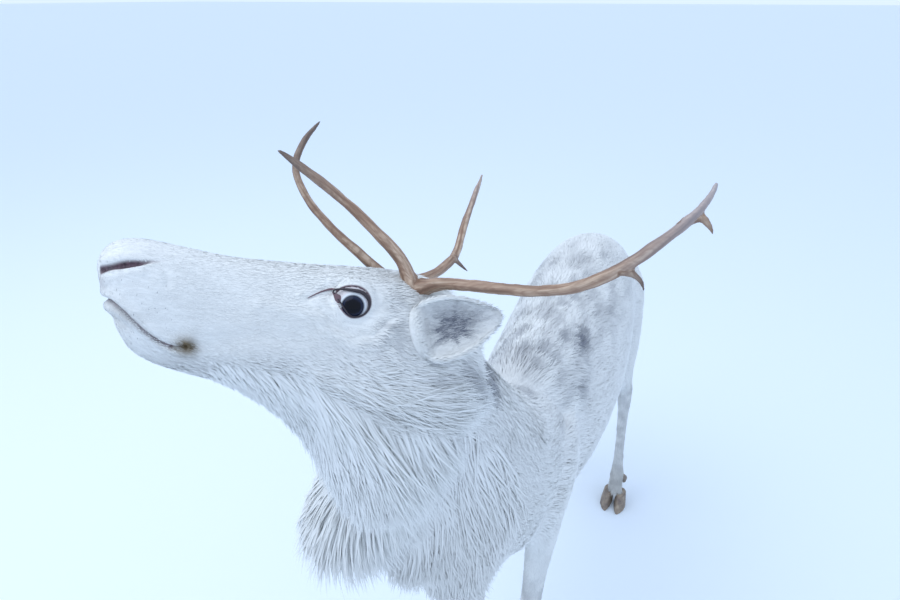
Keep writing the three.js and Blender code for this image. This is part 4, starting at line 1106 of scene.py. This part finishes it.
for turn, label in SIDES:
    rings, cups, root, out = ear_rings(turn)
    bm = bmesh.new()
    add_loft(bm, rings)
    bmesh.ops.recalc_face_normals(bm, faces=bm.faces)
    bmesh.ops.triangulate(bm, faces=bm.faces)
    mesh = bpy.data.meshes.new(f"ear_skin_{label}")
    bm.to_mesh(mesh)
    bm.free()
    points = points_of(mesh)
    match = nearest_of(points, rings.reshape(-1, 3))
    cup = cups.ravel()[match]
    edge = np.sin(2 * math.pi * (match % EAR_SIDES) / EAR_SIDES)
    broad = ear_axes(turn)[2] * turn
    dark, shade = ear_cup_painted_shade(points, root, out, broad, cup)
    along = (points - root) @ out * 1000
    tip = ease(62, 80, along) * np.where(np.abs(edge) < 0.16, 0.75, 0.15)
    # painted shade: the cup greyer the deeper it is, with the grey of the rays; the grey at the tip's rim is grey hair
    grey = np.maximum(np.maximum(shade * 0.8, tip), 0.05 + 0.13 * cup)
    # the third value carries the painted shade round the canal
    give(mesh, "coat", "FLOAT_COLOR",
         np.stack([grey, np.zeros_like(grey), np.clip(dark * 1.1, 0, 1), np.ones_like(grey)], 1))
    give(mesh, "flow", "FLOAT_VECTOR", np.stack([along * 0.00012, points @ np.cross(out, Z), points @ Z], 1))
    place_piece(f"ear_skin_{label}", mesh, ear_material, [f"ear_{label}"])

    # Its hair: short outside, finer inside the cup, and a pale fringe along the rim
    corners = read(mesh.loops, "vertex_index", np.int32, 1).reshape(-1, 3)
    corners = np.take_along_axis(corners, match[corners].argsort(1), 1)
    corners = corners[np.lexsort(match[corners].T)]  # the operators give the faces in no fixed order
    count = int(15000 * share_of_coat)
    total = np.cumsum(areas(points, corners) * (along[corners].mean(1) > -4))
    corners = corners[np.searchsorted(total, (np.arange(count) + rng.random(count)) / count * total[-1])]
    share = rng.dirichlet((1, 1, 1), count)
    places, normal = blend(points, corners, share), unit(blend(normals_of(mesh), corners, share))
    rim, cup = blend(np.exp(-(edge / 0.30) ** 2), corners, share), blend(cup, corners, share)
    way = unit(out + 0.35 * normal * rim[:, None])
    way = unit(way - normal * (way * normal).sum(1, keepdims=True) * 0.8)
    dark, shade = ear_cup_painted_shade(places, root, out, broad, cup)
    # painted shade: hair in the cup greyer the deeper it sits and darkest round the canal, paler along the rim
    grey = np.clip(0.16 * cup + 0.62 * shade + 0.9 * dark, 0, 1) * (1 - 0.6 * rim) * rng.uniform(.6, 1.1, count)
    grey = np.clip(np.maximum(grey, 0.7 * ease(64, 80, (places - root) @ out * 1000) * rim), 0, 1)
    r = Roots(points=places, normal=normal, lie=way, length=5.0 + 4.0 * rim + 4.0 * cup,
              patch=(cup > 0.3).astype(int), grey=grey, stain=np.zeros(count),
              place=np.stack([(places - root) @ out, (places - root) @ np.cross(out, normal.mean(0))], 1))
    make_coat(f"coat_ear_{label}", r, hair_points(r, 0.8, 0.30, 2, sink=0.0003), 2, [f"ear_{label}"])

# ---- Eyes ----

eye_material, tree, shader = material("eye_wet", 0.12, Coat_Weight=0.10, Coat_Roughness=0.02, IOR=1.22)
cloud = noise(tree, held(tree, "box")["Vector"], 160.0, 3.0)
cloud = maths(tree, "MULTIPLY", maths(tree, "SUBTRACT", cloud, 0.5), 0.05)
ring = maths(tree, "ADD", held(tree, "ring")["Fac"], cloud)
dress(tree, shader, Base_Color=ramp(
    tree, ring, (0.0, (8, 9, 16)), (0.30, (10, 12, 22)), (0.42, (20, 24, 42)), (0.60, (34, 42, 64)),
    (0.66, (16, 18, 30)), (0.71, (120, 124, 134)), (0.80, (214, 220, 226)), (1.0, (206, 200, 202))))

rim_material, tree, shader = material("lid_rim", 0.5, Coat_Weight=0.1, Coat_Roughness=0.3)
patchy = noise(tree, held(tree, "box")["Vector"], 190.0, 4.0)
dress(tree, shader, Base_Color=ramp(tree, patchy, (.3, (28, 24, 32)), (.7, (60, 46, 54))))
bump(tree, shader, patchy, 0.0006, 0.6)

tear_material, tree, shader = material("tear_corner", 0.25, Coat_Weight=0.6, Coat_Roughness=0.1)
patchy = noise(tree, held(tree, "box")["Vector"], 300.0, 3.0)
dress(tree, shader, Base_Color=ramp(tree, patchy, (.3, (82, 56, 62)), (.7, (122, 90, 98))))

# nose, left, crown, radius
LID_LINE = [(95.6, 46.9, -33, .25), (91, 47.5, -30, .5), (86, 48, -26.7, .7), (80, 49.4, -23.8, .85),
            (75.4, 51.3, -22.2, 1.0), (70, 54, -22.4, .9)]
skin_tree = BVHTree.FromPolygons([Vector(p) for p in skin_points], skin_tris.tolist())
GAZE = (0.22, 0.968, -0.11)
IRIS = 30  # degrees from the gaze to the iris's edge


def eye_piece(name, mesh, material, slot, *nodes):
    give_box(mesh)
    place_piece(name, mesh, material, nodes)


for turn, label in SIDES:
    centre = on_head(EYE * [1, turn, 1])
    gaze = unit((np.array(GAZE) * [1, turn, 1]) @ HEAD_AXES)
    level = unit(np.cross(CROWN, gaze))
    upright = np.cross(gaze, level)
    bm = bmesh.new()
    bmesh.ops.create_uvsphere(bm, u_segments=72, v_segments=48, radius=1)
    ball = np.array([v.co for v in bm.verts])
    off = np.degrees(np.arccos(np.clip(ball[:, 2], -1, 1)))
    bulge = 1 + 0.085 * (1 - ease(IRIS - 14, IRIS + 4, off))
    placed = ball * (EYE_RADIUS * 0.001 * bulge)[:, None] @ np.array([level, upright, gaze]) + centre
    for v, p in zip(bm.verts, placed):
        v.co = p
    mesh = mesh_of(bm, f"eyeball_{label}")
    oval = np.hypot(ball[:, 0] * 0.86, ball[:, 1] * 1.12)
    spread = np.where(ball[:, 2] > 0, np.degrees(np.arcsin(np.clip(oval, 0, 1))), 90)
    wide = off / IRIS * 0.70
    within = np.minimum(wide, 0.38) * np.where(spread < IRIS * .62, .7, 1.05)
    give(mesh, "ring", "FLOAT", np.clip(np.where(off < IRIS * 0.72, within, wide), 0, 1))
    eye_piece(f"eyeball_{label}", mesh, eye_material, "eye", f"eye_{label}")

    # The lids' dark edge, thicker at the back and above, and the tear corner in front
    edge = almond(72)
    flat = np.minimum(np.hypot(edge[:, 0], edge[:, 1]), EYE_RADIUS - 1)
    out = np.sqrt(np.maximum((EYE_RADIUS + 1.6) ** 2 - flat ** 2, 9))
    rim_points = on_head(np.stack([EYE[0] + edge[:, 0], turn * (EYE[1] + out), EYE[2] + edge[:, 1]], 1))
    t = 2 * math.pi * np.arange(72) / 72
    thick = (0.75 + 1.05 * np.exp(-((t - 2.0) / 1.2) ** 2)) * 0.001
    bm = bmesh.new()
    way = unit(np.roll(rim_points, -1, 0) - np.roll(rim_points, 1, 0))
    radial = unit(rim_points - centre)
    radial = unit(radial - way * (radial * way).sum(1, keepdims=True))
    sections = [egg(p, np.cross(w, rr), rr, k, k * .9, k * .9, 0, 12)
                for p, w, rr, k in zip(rim_points, way, radial, thick)]
    add_loft(bm, sections + sections[:1])
    bmesh.ops.delete(bm, geom=[f for f in bm.faces if len(f.verts) > 4], context="FACES_ONLY")
    bmesh.ops.remove_doubles(bm, verts=bm.verts, dist=1e-6)
    eye_piece(f"lid_rim_{label}", mesh_of(bm, f"lid_rim_{label}"), rim_material, "skin", "head")

    bm = bmesh.new()
    bmesh.ops.create_icosphere(bm, subdivisions=3, radius=1)
    corner = on_head((EYE + [17.0, 9.6, 3.6]) * [1, turn, 1])
    axes = np.array([unit(NOSE * .76 + CROWN * .64), unit(LEFT * turn), unit(CROWN * .76 - NOSE * .64)])
    for v in bm.verts:
        shape = np.array(v.co) * [.0078, .0034, .0040]
        shape[1:] *= 1 - 0.7 * ease(-.4, 1, v.co[0])
        v.co = shape @ axes + corner
    eye_piece(f"tear_corner_{label}", mesh_of(bm, f"tear_corner_{label}"), tear_material, "skin", "head")

    # The dark line that runs forward from the lids
    line = rows_between(LID_LINE, 5)
    path = on_head(line[:, :3] * [1, turn, 1])
    outside = LEFT * turn
    for i, p in enumerate(path):
        spot = skin_tree.ray_cast(Vector(p + outside * 0.012), Vector(-outside), 0.024)[0]
        if spot is not None:
            path[i] = np.array(spot) + outside * 0.0004
    for _ in range(6):
        path[1:-1] = (path[:-2] + path[1:-1] * 2 + path[2:]) / 4
    bm = bmesh.new()
    add_loft(bm, tube(path, line[:, 3] * MM, 10), path[0], path[-1])
    eye_piece(f"lid_line_{label}", mesh_of(bm, f"lid_line_{label}"), tear_material, "skin", "head")

# ---- Antlers ----

# nose, left, crown, radius
BEAM_LEFT = [
    (2, 36, -34, 8), (-4, 42, -14, 9), (-12, 51, -8, 7.8), (-27, 70, -3, 6), (-56, 110, -2, 5.3), (-84, 142, 0, 5.2),
    (-105, 169, 8, 5.3), (-123, 196, 24, 5.5), (-138, 221, 47, 4.8), (-149, 238, 66, 3.8), (-158, 243, 82, 3.1),
    (-161, 245, 93, 1.7),
]
BEAM_RIGHT = [
    (2, -36, -34, 8), (-4, -42, -14, 9), (-16, -48, -8, 7.6), (-50, -68, 6, 6.4), (-74, -89, 22, 5.8),
    (-94, -114, 42, 5.5), (-112, -150, 82, 5.2), (-134, -188, 126, 4.4), (-146, -208, 150, 3.4), (-152, -216, 166, 1.6),
]
BROW_LEFT = [(-1, 41, -20, 7), (5, 40, 0, 7), (18, 37, 19, 6.4), (45, 29, 42, 5.6), (76, 21, 65, 5.2),
             (116, 11, 89, 4.5), (137, 7, 100, 1.8)]
BROW_RIGHT = [(-1, -41, -20, 7), (8, -41, -4, 6.8), (32, -43, 13, 5.6), (61, -47, 33, 4.9), (94, -54, 61, 4.6),
              (112, -55, 86, 4.4), (116, -54, 106, 4), (109, -50, 130, 3.4), (98, -44, 148, 1.6)]
FORK_LEFT = [(-146, 232, 62, 4.2), (-155, 240, 67, 3.6), (-161, 243, 62, 2.8), (-165, 244, 56, 1.4)]
SNAG_LEFT = [(-124, 197, 23, 4), (-131.6, 201.7, 21.5, 3.2), (-138, 204, 17, 2.4), (-141.5, 205, 9.5, 1.2)]
SNAG_RIGHT = [(-84, -102, 34, 3.8), (-96, -103, 27, 2.8), (-108, -101, 19, 1.3)]

antler_material, tree, shader = material("antler_bone", 0.5, Coat_Weight=0.12, Coat_Roughness=0.35)
streak = noise(tree, held(tree, "flow")["Vector"], 260.0, 4.0)
blotch = noise(tree, held(tree, "box")["Vector"], 26.0, 3.0)
tip_share = held(tree, "tip")["Fac"]
warm = ramp(tree, streak, (.34, (112, 86, 68)), (.5, (160, 130, 108)), (.66, (192, 168, 146)))
for share, tint in ((ramp(tree, blotch, (.42, 0), (.62, .6)), (126, 94, 74)),
                    (ramp(tree, tip_share, (.5, 0), (1, .8)), (170, 166, 172)),
                    (ramp(tree, tip_share, (0, .75), (.35, 0)), (84, 74, 72))):
    warm = mix_colour(tree, share, warm, tint)
dress(tree, shader, Base_Color=warm, Roughness=ramp(tree, streak, (.3, .62), (.7, .42)))
bump(tree, shader, streak, 0.0010, 0.8)


def antler_piece(name, limbs, nodes):
    """Limbs as one piece: union, long shallow grooves, and a knobbed ring at its foot."""
    bm = bmesh.new()
    paths = []
    for limb, _ in limbs:
        rows = rows_between(limb, 5)
        path = on_head(rows[:, :3])
        paths.append(path)
        way = unit(path[-1] - path[-2])
        add_loft(bm, tube(path, rows[:, 3] * 0.00096, 20), path[0], path[-1] + way * rows[-1, 3] * 0.0009)
    mesh = remeshed(bm, 0.0016, name)
    points = relax(points_of(mesh), edges_of(mesh), 3, 0.5)
    set_points(mesh, points)
    normals = normals_of(mesh)
    best = np.full(len(points), np.inf)
    along, tip = np.zeros(len(points)), np.zeros(len(points))
    middle = points.copy()
    for path, (limb, ending) in zip(paths, limbs):
        far, place = from_path(points, path)
        steps = place * (len(path) - 1)
        full = np.linalg.norm(np.diff(path, axis=0), axis=1).sum()
        mine = far < best
        best = np.minimum(best, far)
        along = np.where(mine, place * full, along)
        near = np.stack([np.interp(steps, np.arange(len(path)), path[:, k]) for k in range(3)], 1)
        middle = np.where(mine[:, None], near, middle)
        tip = np.where(mine, 0.42 + ending * ease(.45 if len(limb) > 4 else -.5, 1.0, place), tip)
    across = points - middle + np.array([1.0, 0.7, -0.6]) * along[:, None] * 0.05
    grooves = waves(across, 0.0045, 61)
    lumps = waves(points, 0.018, 62)
    head_here = in_head(points)
    foot = np.exp(-(np.linalg.norm(head_here - np.array(limbs[0][0][1][:3]) - [0, 0, 3], axis=1) / 15) ** 6)
    knobs = np.maximum(0, waves(points, 0.0055, 63))
    points = points + normals * (0.00030 * grooves + 0.00025 * lumps + foot * (0.0006 + 0.0013 * knobs))[:, None]
    set_points(mesh, points)
    give(mesh, "flow", "FLOAT_VECTOR", across)
    give(mesh, "tip", "FLOAT", tip)
    give_box(mesh)
    place_piece(name, mesh, antler_material, nodes)


# each limb with how its end turns: pale and worn over 0, dark under 0
antler_piece("antler_left", [(BEAM_LEFT, .5), (BROW_LEFT, -.42), (FORK_LEFT, -.2), (SNAG_LEFT, -.42)],
             ["antler_left_beam", "antler_left_brow_tine", "antler_left_fork_tine", "antler_left_snag"])
antler_piece("antler_right", [(BEAM_RIGHT, .3), (BROW_RIGHT, -.42), (SNAG_RIGHT, -.42)],
             ["antler_right_beam", "antler_right_brow_tine", "antler_right_snag"])

# ---- Hooves ----

hoof_material, tree, shader = material("hoof_horn", 0.5, Coat_Weight=0.15, Coat_Roughness=0.3)
where = node(tree, "TexCoord").outputs["Object"]
growth = node(tree, "TexWave", bands_direction="Z", Vector=where, Scale=95.0, Distortion=1.6, Detail=3.0).outputs["Fac"]
horn = ramp(tree, noise(tree, where, 60.0, 4.0), (.3, (118, 104, 96)), (.55, (150, 134, 118)), (.75, (178, 162, 142)))
lines = ramp(tree, growth, (.2, .78), (.8, 1))
dress(tree, shader, Base_Color=mix_colour(tree, 1.0, horn, lines, "MULTIPLY"))
bump(tree, shader, growth, 0.0006, 0.5)

RIB = 0.0065
for foot in [f"{kind}_{label}" for kind in ("fore", "hind") for label in ("left", "right")]:
    for horn_kind, voxel in (("hoof", 0.0022), ("dewclaw", 0.0018)):
        name = f"{horn_kind}_{foot}"
        nodes = [f"{name}_{place}" for place in ("inner", "outer")]
        bm = bmesh.new()
        for part in nodes:
            bm.from_mesh(bpy.data.objects[part].data)
        bmesh.ops.remove_doubles(bm, verts=bm.verts, dist=1e-6)
        mesh = remeshed(bm, voxel, name)
        points = relax(points_of(mesh), edges_of(mesh), 6)
        set_points(mesh, points)
        rib = 0.0003 * np.sin(points[:, 2] * 2 * math.pi / RIB + 2 * waves(points, 0.03, 71))
        points = points + normals_of(mesh) * (rib * ease(.004, .012, points[:, 2]))[:, None]
        points[:, 2] = np.maximum(points[:, 2], 0.0001)
        set_points(mesh, points)
        place_piece(name, mesh, hoof_material, nodes)

# ---- Light, floor and the end ----

floor_bm = bmesh.new()
bmesh.ops.create_grid(floor_bm, x_segments=8, y_segments=8, size=120)
floor_mesh = bpy.data.meshes.new("floor")
floor_bm.to_mesh(floor_mesh)
floor_bm.free()
floor = new_object("floor", floor_mesh)
floor.data.materials.append(material("pale_floor", 0.9, Base_Color=(232, 240, 248))[0])

world = bpy.data.worlds.new("soft_sky")
world.use_nodes = True
sky = world.node_tree.nodes["Background"].inputs
sky[0].default_value, sky[1].default_value = (0.76, 0.90, 1.12, 1), 1.02
bpy.context.scene.world = world
bpy.context.scene.view_settings.view_transform = "Standard"

lamp = bpy.data.lights.new("sky_light", "AREA")
lamp.shape, lamp.size, lamp.energy, lamp.color = "DISK", 4.0, 60, (.93, .97, 1.0)
above = new_object("sky_light", lamp)
above.location = LAMP_AT = Vector((-1.6, -1.2, 4.2))
above.rotation_euler = (Vector((0, -.2, .8)) - LAMP_AT).to_track_quat("-Z", "Y").to_euler()
